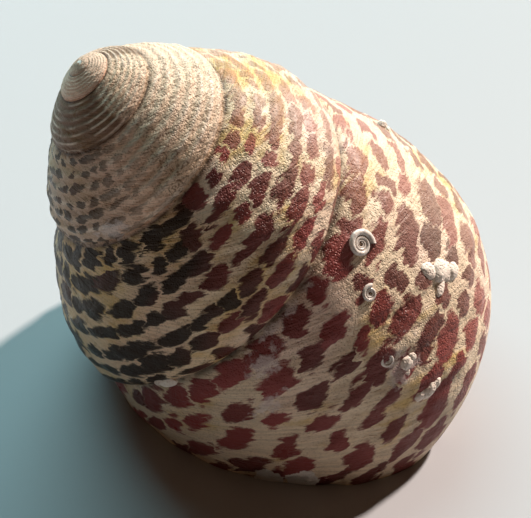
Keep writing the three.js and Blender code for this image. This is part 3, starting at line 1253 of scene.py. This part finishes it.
# Pieces
@dataclass
class ShellBody:
    """The shell itself: outside, hollow last whorl, pillar and broken lip. Sizes are in millimetres.

    A chip has its turn, its half length, its half depth and its height. A wave of the lip has its seed, its
    waves a cell of the ground and its share.
    """

    stance: Stance
    growth: Growth
    relief: Relief
    steps_a_turn: int = 180
    flank_rows: int = 49
    base_rows: int = 28
    wall: float = 1.0
    lip: float = 0.6
    lip_height: float = 3.0
    callus: float = 0.15
    hollow_turns: tuple[float, float] = (-0.75, 0.34)
    hollow_steps: int = 110
    hollow_narrows: float = -0.25
    hollow_end_share: float = 0.3
    hollow_flank_from: float = 0.16
    hollow_near_pillar: float = 0.93
    flank_shares: tuple[float, ...] = (0.0, 0.25, 0.5, 0.75, 1.0)
    base_shares: tuple[float, ...] = (0.25, 0.45, 0.65, 0.85, 1.0)
    roof_shares: tuple[float, ...] = (1.0, 0.8, 0.55, 0.33)
    corner_cuts: int = 2
    corner_share: float = 0.25
    outline_step: float = 0.01
    chips: tuple[tuple[float, float, float, float], ...] = (
        (0.055, 2.1, 1.8, 1.4),
        (0.025, 1.9, 1.8, 0.9),
    )
    chip_rough: float = 0.05
    chip_spread: float = 0.4
    chip_smoothing: float = 0.5
    first_chip_seed: int = 4
    ball_detail: int = 4
    rim_samples: int = 801
    tooth_at: Point = (0.05, 1.9, 25.4)
    tooth_size: Point = (0.75, 0.8, 1.5)
    floor_half: float = 30.0
    floor_cells: int = 120
    lip_wave: float = 0.16
    lip_waves: tuple[tuple[int, float, float], ...] = ((23, 0.31, 1.0), (29, 0.9, 0.5))
    smooth_deg: float = 38.0
    flank_reach: float = 0.4
    newest_first: float = 1e-6

    def build(self) -> bpy.types.Object:
        """Model the shell and lay its whorl map.

        Returns:
            The finished piece.
        """
        piece = self.cast()
        Bench.combine(piece, self.hollow(), Cut.REMOVE)
        Bench.combine(piece, self.tooth(), Cut.JOIN)
        for index, chip in enumerate(self.chips):
            Bench.combine(piece, self.bite(index, *chip), Cut.REMOVE)
        Bench.combine(piece, self.ground_block(), Cut.REMOVE)
        self.lay_whorl_map(piece)
        Bench.smooth(piece, self.smooth_deg)
        return piece

    def dress(self, piece: bpy.types.Object) -> None:
        """Give each layer of the shell its finish.

        Args:
            piece: The shell.
        """
        finishes = {
            Layer.OUTSIDE: SpottedShell(),
            Layer.INSIDE: Nacre(),
            Layer.BROKEN: LimyLayer("broken_lip"),
        }
        for layer in Layer:
            piece.data.materials[layer] = finishes[layer].material()

    def mark(self, piece: bpy.types.Object, layer: Layer) -> None:
        """Give a mesh the shell's material slots, with all its faces in one layer.

        Args:
            piece: Object to mark.
            layer: Layer of all its faces.
        """
        for each in Layer:
            name = "layer_" + each.name.lower()
            piece.data.materials.append(bpy.data.materials.get(name) or bpy.data.materials.new(name))
        slots = np.full(len(piece.data.polygons), int(layer), np.int32)
        piece.data.polygons.foreach_set("material_index", slots)

    def cast(self) -> bpy.types.Object:
        """Filled outside of the shell, from the tip round the flank and the base to the axis.

        Returns:
            The closed piece, with the flat ends of the coil in the inside layer.
        """
        growth = self.growth
        columns = round((growth.last_turn - growth.first_turn) * self.steps_a_turn)
        rows = self.flank_rows + self.base_rows + 1
        piece, column, row = Bench.grid("top_shell", columns, rows)
        turn = growth.first_turn + column / self.steps_a_turn
        down = np.minimum(row / self.flank_rows, 1.0)
        inwards = np.clip((row - self.flank_rows) / self.base_rows, 0.0, 1.0)
        length = np.linalg.norm(growth.lower_edge(turn) - growth.suture(turn), axis=-1)
        flank = growth.flank(turn, down, self.relief.lift(turn, down, length))
        flank[:, 0] -= self.relief.draw_in(turn, down, growth)
        profile = np.where((row > self.flank_rows)[:, None], growth.base(turn, inwards), flank)
        profile[row == rows, 0] = 0.0
        Bench.shape(piece, self.stance.place(turn, profile[:, 0], profile[:, 1]))
        corners = np.empty(len(piece.data.loops), np.int32)
        piece.data.loops.foreach_get("vertex_index", corners)
        corners = corners.reshape(-1, 4)
        on_base = row[corners].min(axis=1) >= self.flank_rows
        covered = column[corners].max(axis=1) <= columns - self.steps_a_turn
        Bench.delete_faces(piece, on_base & covered)
        Bench.close(piece)
        self.mark(piece, Layer.OUTSIDE)
        for face in piece.data.polygons:
            if face.loop_total > 4:
                face.material_index = Layer.INSIDE
        return piece

    def moved(
        self, outline: Callable[[Array, Array], Array], turn: Array, at: float, distance: Array
    ) -> Array:
        """Points of an outline, moved square to it, outwards by a distance in millimetres.

        Args:
            outline: The flank or the base of the growth.
            turn: Turns about the axis.
            at: Place on the outline, from 0 to 1.
            distance: Distance outwards.

        Returns:
            Radius and depth in millimetres, as the last dimension.
        """
        ahead = outline(turn, np.full_like(turn, min(1.0, at + self.outline_step)))
        behind = outline(turn, np.full_like(turn, max(0.0, at - self.outline_step)))
        slope = (ahead - behind) / np.linalg.norm(ahead - behind, axis=-1, keepdims=True)
        square = np.stack([slope[:, 1], -slope[:, 0]], -1)
        return outline(turn, np.full_like(turn, at)) + square * np.asarray(distance)[..., None]

    def wall_at(self, turn: Array, profile: Array) -> Array:
        """Thickness of the wall behind points of the outside, thinner towards the lip."""
        height = self.stance.place(turn, profile[:, 0], profile[:, 1])[:, 2] / MM
        return between(self.lip, self.wall, ease(height, 0.0, self.lip_height))

    def hollow(self) -> bpy.types.Object:
        """Filled hollow of the last whorl, past the mouth.

        Returns:
            The closed cutter.
        """
        start, end = self.hollow_turns
        turns = np.linspace(start, end, self.hollow_steps + 1)
        ring = []
        for share in self.flank_shares:
            at = between(self.hollow_flank_from, 1.0, share)
            outside = self.growth.flank(turns, np.full_like(turns, at))
            ring.append(self.moved(self.growth.flank, turns, at, -self.wall_at(turns, outside)))
        for share in self.base_shares:
            at = share * self.hollow_near_pillar
            outside = self.growth.base(turns, np.full_like(turns, at))
            ring.append(self.moved(self.growth.base, turns, at, -self.wall_at(turns, outside)))
        for share in self.roof_shares:
            at = share * self.hollow_near_pillar
            ring.append(self.moved(self.growth.base, turns - 1.0, at, np.full_like(turns, self.callus)))
        sections = np.stack(ring, axis=1)
        middle = sections.mean(axis=1, keepdims=True)
        closing = ease(-turns, -self.hollow_narrows, -start)[:, None, None]
        sections = middle + (sections - middle) * between(1.0, self.hollow_end_share, closing)
        for _ in range(self.corner_cuts):
            after = np.roll(sections, -1, axis=1)
            near, far = 1.0 - self.corner_share, self.corner_share
            cut = [near * sections + far * after, far * sections + near * after]
            sections = np.stack(cut, axis=2).reshape(len(turns), -1, 2)
        count = sections.shape[1]
        piece, column, row = Bench.grid("hollow", self.hollow_steps, count)
        profile = sections[column, row % count]
        Bench.shape(piece, self.stance.place(turns[column], profile[:, 0], profile[:, 1]))
        Bench.close(piece)
        self.mark(piece, Layer.INSIDE)
        return piece

    def tooth(self) -> bpy.types.Object:
        """Blunt tooth at the foot of the pillar.

        Returns:
            The closed lump.
        """
        turn, radius, depth = self.tooth_at
        _, mouth, past = self.stance.directions()
        centre = self.stance.place(turn, radius, depth)
        turned = Matrix(np.stack([mouth, past, np.cross(mouth, past)], axis=1).tolist()).to_4x4()
        sizes = Matrix.Diagonal((*(size * MM for size in self.tooth_size), 1.0))
        return self.ball("tooth", Matrix.Translation(centre) @ turned @ sizes, Layer.INSIDE)

    def ball(
        self, name: str, set_at: Matrix, layer: Layer, rough: float = 0.0, seed: int = 0
    ) -> bpy.types.Object:
        """Rounded lump, rough if asked, stretched and set by a matrix.

        Args:
            name: Name of the new object.
            set_at: Matrix that stretches and places a ball of radius 1.
            layer: Layer of its faces.
            rough: Unevenness, as a share of the radius.
            seed: Seed of the unevenness.

        Returns:
            The closed lump.
        """
        bpy.ops.object.select_all(action="DESELECT")
        bpy.ops.mesh.primitive_ico_sphere_add(subdivisions=self.ball_detail, radius=1.0)
        piece = Bench.named(name)
        if rough:
            bpy.ops.object.mode_set(mode="EDIT")
            bpy.ops.transform.vertex_random(offset=rough, uniform=self.chip_spread, normal=1.0, seed=seed)
            bpy.ops.mesh.vertices_smooth(factor=self.chip_smoothing, repeat=1)
            bpy.ops.object.mode_set(mode="OBJECT")
        piece.data.transform(set_at)
        self.mark(piece, layer)
        return piece

    def rim_down(self, turn: float) -> float:
        """Place down the flank where it meets the rim's plane.

        Args:
            turn: Turn about the axis.

        Returns:
            Place on the flank, from 0 to 1.
        """
        downs = np.linspace(0.0, 1.0, self.rim_samples)
        profile = self.growth.flank(np.full_like(downs, turn), downs)
        heights = self.stance.place(np.full_like(downs, turn), profile[:, 0], profile[:, 1])[:, 2]
        return float(downs[np.argmax(heights < 0.0)])

    def bite(self, index: int, turn: float, half: float, deep: float, high: float) -> bpy.types.Object:
        """Broken place in the lip.

        Args:
            index: Number of the bite.
            turn: Its turn about the axis.
            half: Half its length along the rim, in millimetres.
            deep: Half its depth through the wall, in millimetres.
            high: Its height, in millimetres.

        Returns:
            The cutter.
        """
        spot = surface_frame(self.stance, self.growth, turn, self.rim_down(turn))
        outwards = Vector((spot[0][2], spot[1][2], 0.0)).normalized()
        along = Vector((0.0, 0.0, 1.0)).cross(outwards)
        level = Matrix((along, outwards, (0.0, 0.0, 1.0))).transposed().to_4x4()
        sizes = Matrix.Diagonal((half * MM, deep * MM, high * MM, 1.0))
        set_at = Matrix.Translation(spot.to_translation()) @ level @ sizes
        seed = self.first_chip_seed + index
        return self.ball(f"bite_{index}", set_at, Layer.BROKEN, self.chip_rough, seed)

    def ground_block(self) -> bpy.types.Object:
        """Block under the shell, with a slightly wavy top that leaves a natural lip.

        Returns:
            The closed cutter.
        """
        piece, column, row = Bench.grid("ground_block", self.floor_cells, self.floor_cells)
        points = Bench.points(piece) * self.floor_half * MM
        wave = np.zeros(len(points))
        for seed, a_cell, share in self.lip_waves:
            wave = wave + share * Wobble(seed).at(column * a_cell, row * a_cell)
        points[:, 2] = np.clip(wave, 0.0, 1.0) * self.lip_wave * MM
        Bench.shape(piece, points)
        Bench.take(piece)
        bpy.ops.object.mode_set(mode="EDIT")
        bpy.ops.mesh.select_all(action="SELECT")
        downwards = (0.0, 0.0, -self.floor_half * MM)
        bpy.ops.mesh.extrude_region_move(TRANSFORM_OT_translate={"value": downwards})
        bpy.ops.object.mode_set(mode="OBJECT")
        Bench.close(piece)
        self.mark(piece, Layer.BROKEN)
        return piece

    def lay_whorl_map(self, piece: bpy.types.Object) -> None:
        """Map each outside face by its turn and its place down the flank, and on over the base.

        Args:
            piece: The shell.
        """
        mesh = piece.data
        part, radius, depth = self.stance.unplace(Bench.points(piece))
        owner = np.empty(len(mesh.loops), np.int32)
        mesh.loops.foreach_get("vertex_index", owner)
        counts = np.empty(len(mesh.polygons), np.int32)
        mesh.polygons.foreach_get("loop_total", counts)
        centres = np.empty(3 * len(mesh.polygons), np.float32)
        mesh.polygons.foreach_get("center", centres)
        middle, wide, deep = self.stance.unplace(centres.reshape(-1, 3))
        whorl = self.whorl_of(middle, wide, deep)
        face = np.repeat(np.arange(len(counts)), counts)
        offset = part[owner] - middle[face]
        turn = whorl[face] + offset - np.rint(offset)
        down = self.down_of(turn, radius[owner], depth[owner])
        rim = self.growth.lower_edge(turn)
        length = np.linalg.norm(rim - self.growth.suture(turn), axis=-1)
        over = np.hypot(radius[owner] - rim[:, 0], depth[owner] - rim[:, 1]) / length
        on_base = (down > 1.0) | (self.off_flank(turn, radius[owner], depth[owner]) > self.flank_reach)
        down = np.where(on_base, 1.0 + over, down)
        layer = mesh.uv_layers.get(WHORL_MAP) or mesh.uv_layers.new(name=WHORL_MAP)
        layer.data.foreach_set("uv", np.stack([turn, down], -1).astype(np.float32).ravel())

    def whorl_of(self, part: Array, radius: Array, depth: Array) -> Array:
        """Turns of the whorl that each place belongs to, the newest one where several fit.

        Args:
            part: Part of a turn about the axis.
            radius: Distance from the axis, in millimetres.
            depth: Distance below the apex, in millimetres.

        Returns:
            Turns about the axis.
        """
        last = self.growth.last_turn
        newest = part - np.ceil(part - last)
        best = np.full(len(part), np.inf)
        whorl = np.zeros(len(part))
        for back in range(int(last - self.growth.first_turn) + 1):
            turn = newest - back
            down = self.down_of(turn, radius, depth)
            miss = np.maximum(np.maximum(-down, down - 1.0), 0.0) + self.newest_first * back
            whorl = np.where(miss < best, turn, whorl)
            best = np.minimum(miss, best)
        return whorl

    def chord_and_arm(self, turn: Array, radius: Array, depth: Array) -> tuple[Array, Array]:
        """Ways from the suture to the rim, and from the suture to a place.

        Args:
            turn: Turns about the axis.
            radius: Distance from the axis, in millimetres.
            depth: Distance below the apex, in millimetres.

        Returns:
            Two ways, each as radius and depth.
        """
        upper = self.growth.suture(turn)
        return self.growth.lower_edge(turn) - upper, np.stack([radius, depth], -1) - upper

    def down_of(self, turn: Array, radius: Array, depth: Array) -> Array:
        """Share of the way from the suture to the rim, along the chord between them."""
        chord, arm = self.chord_and_arm(turn, radius, depth)
        return (arm * chord).sum(-1) / (chord * chord).sum(-1)

    def off_flank(self, turn: Array, radius: Array, depth: Array) -> Array:
        """Distance from the chord between suture and rim, as a share of that chord.

        Args:
            turn: Turns about the axis.
            radius: Distance from the axis, in millimetres.
            depth: Distance below the apex, in millimetres.

        Returns:
            Shares from 0 up.
        """
        chord, arm = self.chord_and_arm(turn, radius, depth)
        square = np.abs(arm[..., 0] * chord[..., 1] - arm[..., 1] * chord[..., 0])
        return square / (chord * chord).sum(-1)


def surface_frame(stance: Stance, growth: Growth, turn: float, down: float) -> Matrix:
    """Matrix of a place on the flank: along the coil, across it and outwards, in metres.

    Args:
        stance: Lean of the shell.
        growth: Spiral of the shell.
        turn: Turn about the axis.
        down: Place on the flank.

    Returns:
        The matrix.
    """
    step = 0.004
    turns = np.array([turn, turn + step, turn])
    downs = np.array([down, down, down + step])
    profile = growth.flank(turns, downs)
    at, later, lower = (Vector(point) for point in stance.place(turns, profile[:, 0], profile[:, 1]))
    along = (later - at).normalized()
    outwards = (lower - at).cross(along).normalized()
    axis_point = Vector(stance.place(turn, 0.0, profile[0, 1]))
    if outwards.dot(at - axis_point) < 0.0:
        outwards.negate()
    across = outwards.cross(along)
    return Matrix.Translation(at) @ Matrix((along, across, outwards)).transposed().to_4x4()


@dataclass
class WormTube:
    """Coiled limy tube of a small worm, cemented to the flank."""

    name: str
    turn: float
    down: float
    reach: float
    loops: float
    facing_deg: float = 0.0
    loop_growth: float = 1.75
    tube_share: float = 0.22
    steps_a_loop: int = 18
    sides: int = 10
    rise: float = 0.6
    mouth_share: float = 0.62
    weld: float = 1e-9
    smooth_deg: float = 60.0

    def build(self, stance: Stance, growth: Growth) -> bpy.types.Object:
        """Extrude a ring round the coil, growing as it goes, and hollow its mouth.

        Args:
            stance: Lean of the shell.
            growth: Spiral of the shell.

        Returns:
            The finished piece.
        """
        steps = round(self.loops * self.steps_a_loop)
        ratio = self.loop_growth ** (1.0 / self.steps_a_loop)
        middle = self.reach * (1.0 - self.tube_share) * MM
        tube = self.reach * self.tube_share * MM
        small = ratio**-steps
        bpy.ops.object.select_all(action="DESELECT")
        bpy.ops.mesh.primitive_circle_add(
            vertices=self.sides,
            radius=tube * small,
            location=(middle * small, 0.0, 0.0),
            rotation=(math.pi / 2, 0.0, 0.0),
        )
        piece = Bench.named(self.name)
        bpy.ops.object.transform_apply(location=True, rotation=True, scale=True)
        turned = 2.0 * math.pi / self.steps_a_loop
        bpy.ops.object.mode_set(mode="EDIT")
        bpy.ops.mesh.select_all(action="SELECT")
        for _ in range(steps):
            self.extrude(turned, ratio, ORIGIN)
        angle = steps * turned
        lip = (middle * math.cos(angle), -middle * math.sin(angle), 0.0)
        self.extrude(0.0, self.mouth_share, lip)
        self.extrude(-turned, 1.0, ORIGIN)
        bpy.ops.object.mode_set(mode="OBJECT")
        Bench.close(piece, self.weld)
        set_at = surface_frame(stance, growth, self.turn, self.down)
        lifted = Matrix.Translation((0.0, 0.0, tube * self.rise))
        piece.data.transform(set_at @ lifted @ Matrix.Rotation(math.radians(self.facing_deg), 4, "Z"))
        Bench.smooth(piece, self.smooth_deg)
        return piece

    def extrude(self, angle: float, scale: float, centre: Point) -> None:
        """Draw the selected ring out, turn it round the coil and scale it.

        Args:
            angle: Turn round the coil, in radians.
            scale: Growth of the ring.
            centre: Point that it grows from, in metres.
        """
        bpy.ops.mesh.extrude_region_move()
        if angle:
            bpy.ops.transform.rotate(value=angle, orient_axis="Z", center_override=ORIGIN)
        bpy.ops.transform.resize(value=(scale, scale, scale), center_override=centre)

    def dress(self, piece: bpy.types.Object, material: bpy.types.Material) -> None:
        """Give the tube its glossy lime."""
        piece.data.materials.append(material)


@dataclass
class LimyCrust:
    """Cluster of limy lumps, cemented to the flank.

    Each lump has its place along and across the coil, and then its three half sizes, in millimetres.
    """

    name: str
    turn: float
    down: float
    lumps: tuple[tuple[float, float, float, float, float], ...]
    seed: int = 1
    rough: float = 0.12
    sink: float = 0.3
    detail: int = 4
    spread: float = 0.3
    smoothing: float = 0.5
    smoothing_rounds: int = 2
    smooth_deg: float = 80.0

    def build(self, stance: Stance, growth: Growth) -> bpy.types.Object:
        """Model each lump as a rough ball and join them.

        Args:
            stance: Lean of the shell.
            growth: Spiral of the shell.

        Returns:
            The finished piece.
        """
        set_at = surface_frame(stance, growth, self.turn, self.down)
        whole = None
        for index, (along, across, long, wide, high) in enumerate(self.lumps):
            bpy.ops.object.select_all(action="DESELECT")
            bpy.ops.mesh.primitive_ico_sphere_add(subdivisions=self.detail, radius=1.0)
            ball = Bench.named(self.name if whole is None else "lump")
            bpy.ops.object.mode_set(mode="EDIT")
            bpy.ops.transform.vertex_random(
                offset=self.rough, uniform=self.spread, normal=1.0, seed=self.seed + index
            )
            bpy.ops.mesh.vertices_smooth(factor=self.smoothing, repeat=self.smoothing_rounds)
            bpy.ops.object.mode_set(mode="OBJECT")
            sizes = Matrix.Diagonal((long * MM, wide * MM, high * MM, 1.0))
            sunk = Matrix.Translation((along * MM, across * MM, -self.sink * high * MM))
            ball.data.transform(set_at @ sunk @ sizes)
            if whole is None:
                whole = ball
            else:
                Bench.combine(whole, ball, Cut.JOIN)
        Bench.smooth(whole, self.smooth_deg)
        return whole

    def dress(self, piece: bpy.types.Object, material: bpy.types.Material) -> None:
        """Give the crust its chalky lime."""
        piece.data.materials.clear()
        piece.data.materials.append(material)


# Stage, light and camera
@dataclass
class Studio:
    """Pale floor, soft light and the camera at the photograph's angle."""

    floor_half: float = 1.5
    floor_colour: Colour = (0.395, 0.396, 0.424)
    floor_roughness: float = 0.6
    sun_turn_deg: float = 38.0
    sun_height_deg: float = 37.0
    sun_soft_deg: float = 4.0
    sun_strength: float = 6.6
    sun_colour: Colour = (1.0, 0.87, 0.77)
    sky: Colour = (1.0, 0.60, 0.34)
    sky_strength: float = 0.062
    fill_from: Point = (-0.12, 0.38, 0.32)
    fill_size: float = 0.45
    fill_power: float = 2.8
    fill_colour: Colour = (0.52, 0.95, 1.0)
    target_mm: Point = (-0.577, -6.102, 12.487)
    distance_mm: float = 104.0
    camera_height_deg: float = 41.74
    camera_turn_deg: float = 0.26
    camera_roll_deg: float = 3.96
    lens_mm: float = 126.9
    nearest: float = 0.01

    def build(self) -> None:
        """Set the stage, the light and the camera."""
        self.floor()
        self.light()
        self.camera()

    @staticmethod
    def hang(name: str, data: bpy.types.ID) -> bpy.types.Object:
        """Put a light or a camera in the scene.

        Args:
            name: Name of the new object.
            data: The light or the camera.

        Returns:
            The object that holds it.
        """
        holder = bpy.data.objects.new(name, data)
        bpy.context.scene.collection.objects.link(holder)
        return holder

    def floor(self) -> None:
        """Plain pale floor under the shell."""
        bpy.ops.object.select_all(action="DESELECT")
        bpy.ops.mesh.primitive_plane_add(size=2.0 * self.floor_half)
        floor = Bench.named("floor")
        paint = bpy.data.materials.new("floor")
        paint.use_nodes = True
        shader = paint.node_tree.nodes["Principled BSDF"]
        shader.inputs["Base Color"].default_value = (*self.floor_colour, 1.0)
        shader.inputs["Roughness"].default_value = self.floor_roughness
        floor.data.materials.append(paint)

    def light(self) -> None:
        """One key from the right and behind, a softbox behind and above, and a little even fill."""
        key = bpy.data.lights.new("key", "SUN")
        key.energy = self.sun_strength
        key.color = self.sun_colour
        key.angle = math.radians(self.sun_soft_deg)
        lamp = self.hang("key", key)
        turn, height = math.radians(self.sun_turn_deg), math.radians(self.sun_height_deg)
        level = math.cos(height)
        towards = Vector((math.sin(turn) * level, math.cos(turn) * level, math.sin(height)))
        lamp.rotation_euler = towards.to_track_quat("Z", "Y").to_euler()
        softbox = bpy.data.lights.new("softbox", "AREA")
        softbox.energy = self.fill_power
        softbox.color = self.fill_colour
        softbox.size = self.fill_size
        place = Vector(self.fill_from)
        facing = place.to_track_quat("Z", "Y").to_matrix().to_4x4()
        self.hang("softbox", softbox).matrix_world = Matrix.Translation(place) @ facing
        world = bpy.data.worlds.new("fill")
        world.use_nodes = True
        sky = world.node_tree.nodes["Background"]
        sky.inputs["Color"].default_value = (*self.sky, 1.0)
        sky.inputs["Strength"].default_value = self.sky_strength
        bpy.context.scene.world = world

    def camera(self) -> None:
        """Camera at the photograph's viewing angle."""
        eye = bpy.data.cameras.new("camera")
        eye.lens = self.lens_mm
        eye.clip_start = self.nearest
        holder = self.hang("camera", eye)
        turned = Matrix.Rotation(math.radians(self.camera_turn_deg), 4, "Z")
        tipped = Matrix.Rotation(math.radians(90.0 - self.camera_height_deg), 4, "X")
        rolled = Matrix.Rotation(math.radians(self.camera_roll_deg), 4, "Z")
        back = Matrix.Translation((0.0, 0.0, self.distance_mm * MM))
        target = Matrix.Translation(Vector(self.target_mm) * MM)
        holder.matrix_world = target @ turned @ tipped @ rolled @ back
        bpy.context.scene.camera = holder
        bpy.context.scene.view_settings.view_transform = "Standard"


# What is cemented to the shell
WORM_TUBES = (
    WormTube("worm_tube_large", turn=-0.139, down=0.13, reach=1.0, loops=3.2, facing_deg=200.0),
    WormTube("worm_tube_middle", turn=-0.112, down=0.27, reach=0.6, loops=2.6, facing_deg=60.0),
    WormTube("worm_tube_small", turn=-0.085, down=0.52, reach=0.54, loops=2.6, facing_deg=130.0),
)

CRUSTS = (
    LimyCrust("crust_right", turn=-0.169, down=0.585, lumps=(
        (0.0, 0.0, 0.8, 0.66, 0.5), (-0.5, 1.0, 0.62, 0.5, 0.4), (0.4, -0.8, 0.55, 0.62, 0.32),
        (-0.25, 0.5, 0.72, 0.6, 0.28), (0.85, 0.4, 0.6, 0.3, 0.2))),
    LimyCrust("crust_low", turn=-0.094, down=0.82, lumps=(
        (0.0, 0.0, 0.7, 0.45, 0.4), (0.55, -0.35, 0.45, 0.35, 0.28), (-0.55, 0.2, 0.4, 0.3, 0.24)), seed=11),
    LimyCrust("crust_middle", turn=-0.094, down=0.62, lumps=(
        (0.0, 0.0, 0.5, 0.4, 0.3), (0.4, 0.35, 0.32, 0.28, 0.22), (-0.45, 0.1, 0.3, 0.3, 0.16)), seed=21),
    LimyCrust("crust_top", turn=-0.31, down=0.43, lumps=(
        (0.0, 0.0, 0.4, 0.34, 0.42), (0.35, 0.2, 0.28, 0.22, 0.22)), seed=31),
    LimyCrust("crust_left", turn=-0.919, down=0.94, lumps=(
        (0.0, 0.0, 0.7, 0.34, 0.16), (0.5, -0.2, 0.4, 0.25, 0.12)), seed=41),
)


def settle(piece: bpy.types.Object) -> None:
    """Fix a finished piece to the shell's body and report it.

    Args:
        piece: The finished piece.
    """
    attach(piece, BODY)
    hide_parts(NODE)
    LOG.info("%s: %d faces", piece.name, len(piece.data.polygons))


def main() -> None:
    """Build the shell, what is cemented to it, and the studio."""
    logging.basicConfig(level=logging.INFO, format="%(name)s %(message)s")
    stance, growth, relief = Stance(), Growth(), Relief()
    body = ShellBody(stance, growth, relief)
    shell = body.build()
    body.dress(shell)
    settle(shell)
    glossy = GlossyTube().material()
    for tube in WORM_TUBES:
        piece = tube.build(stance, growth)
        tube.dress(piece, glossy)
        settle(piece)
    chalk = LimyLayer("limy_crust").material()
    for crust in CRUSTS:
        piece = crust.build(stance, growth)
        crust.dress(piece, chalk)
        settle(piece)
    Studio().build()


if __name__ == "__main__":
    main()
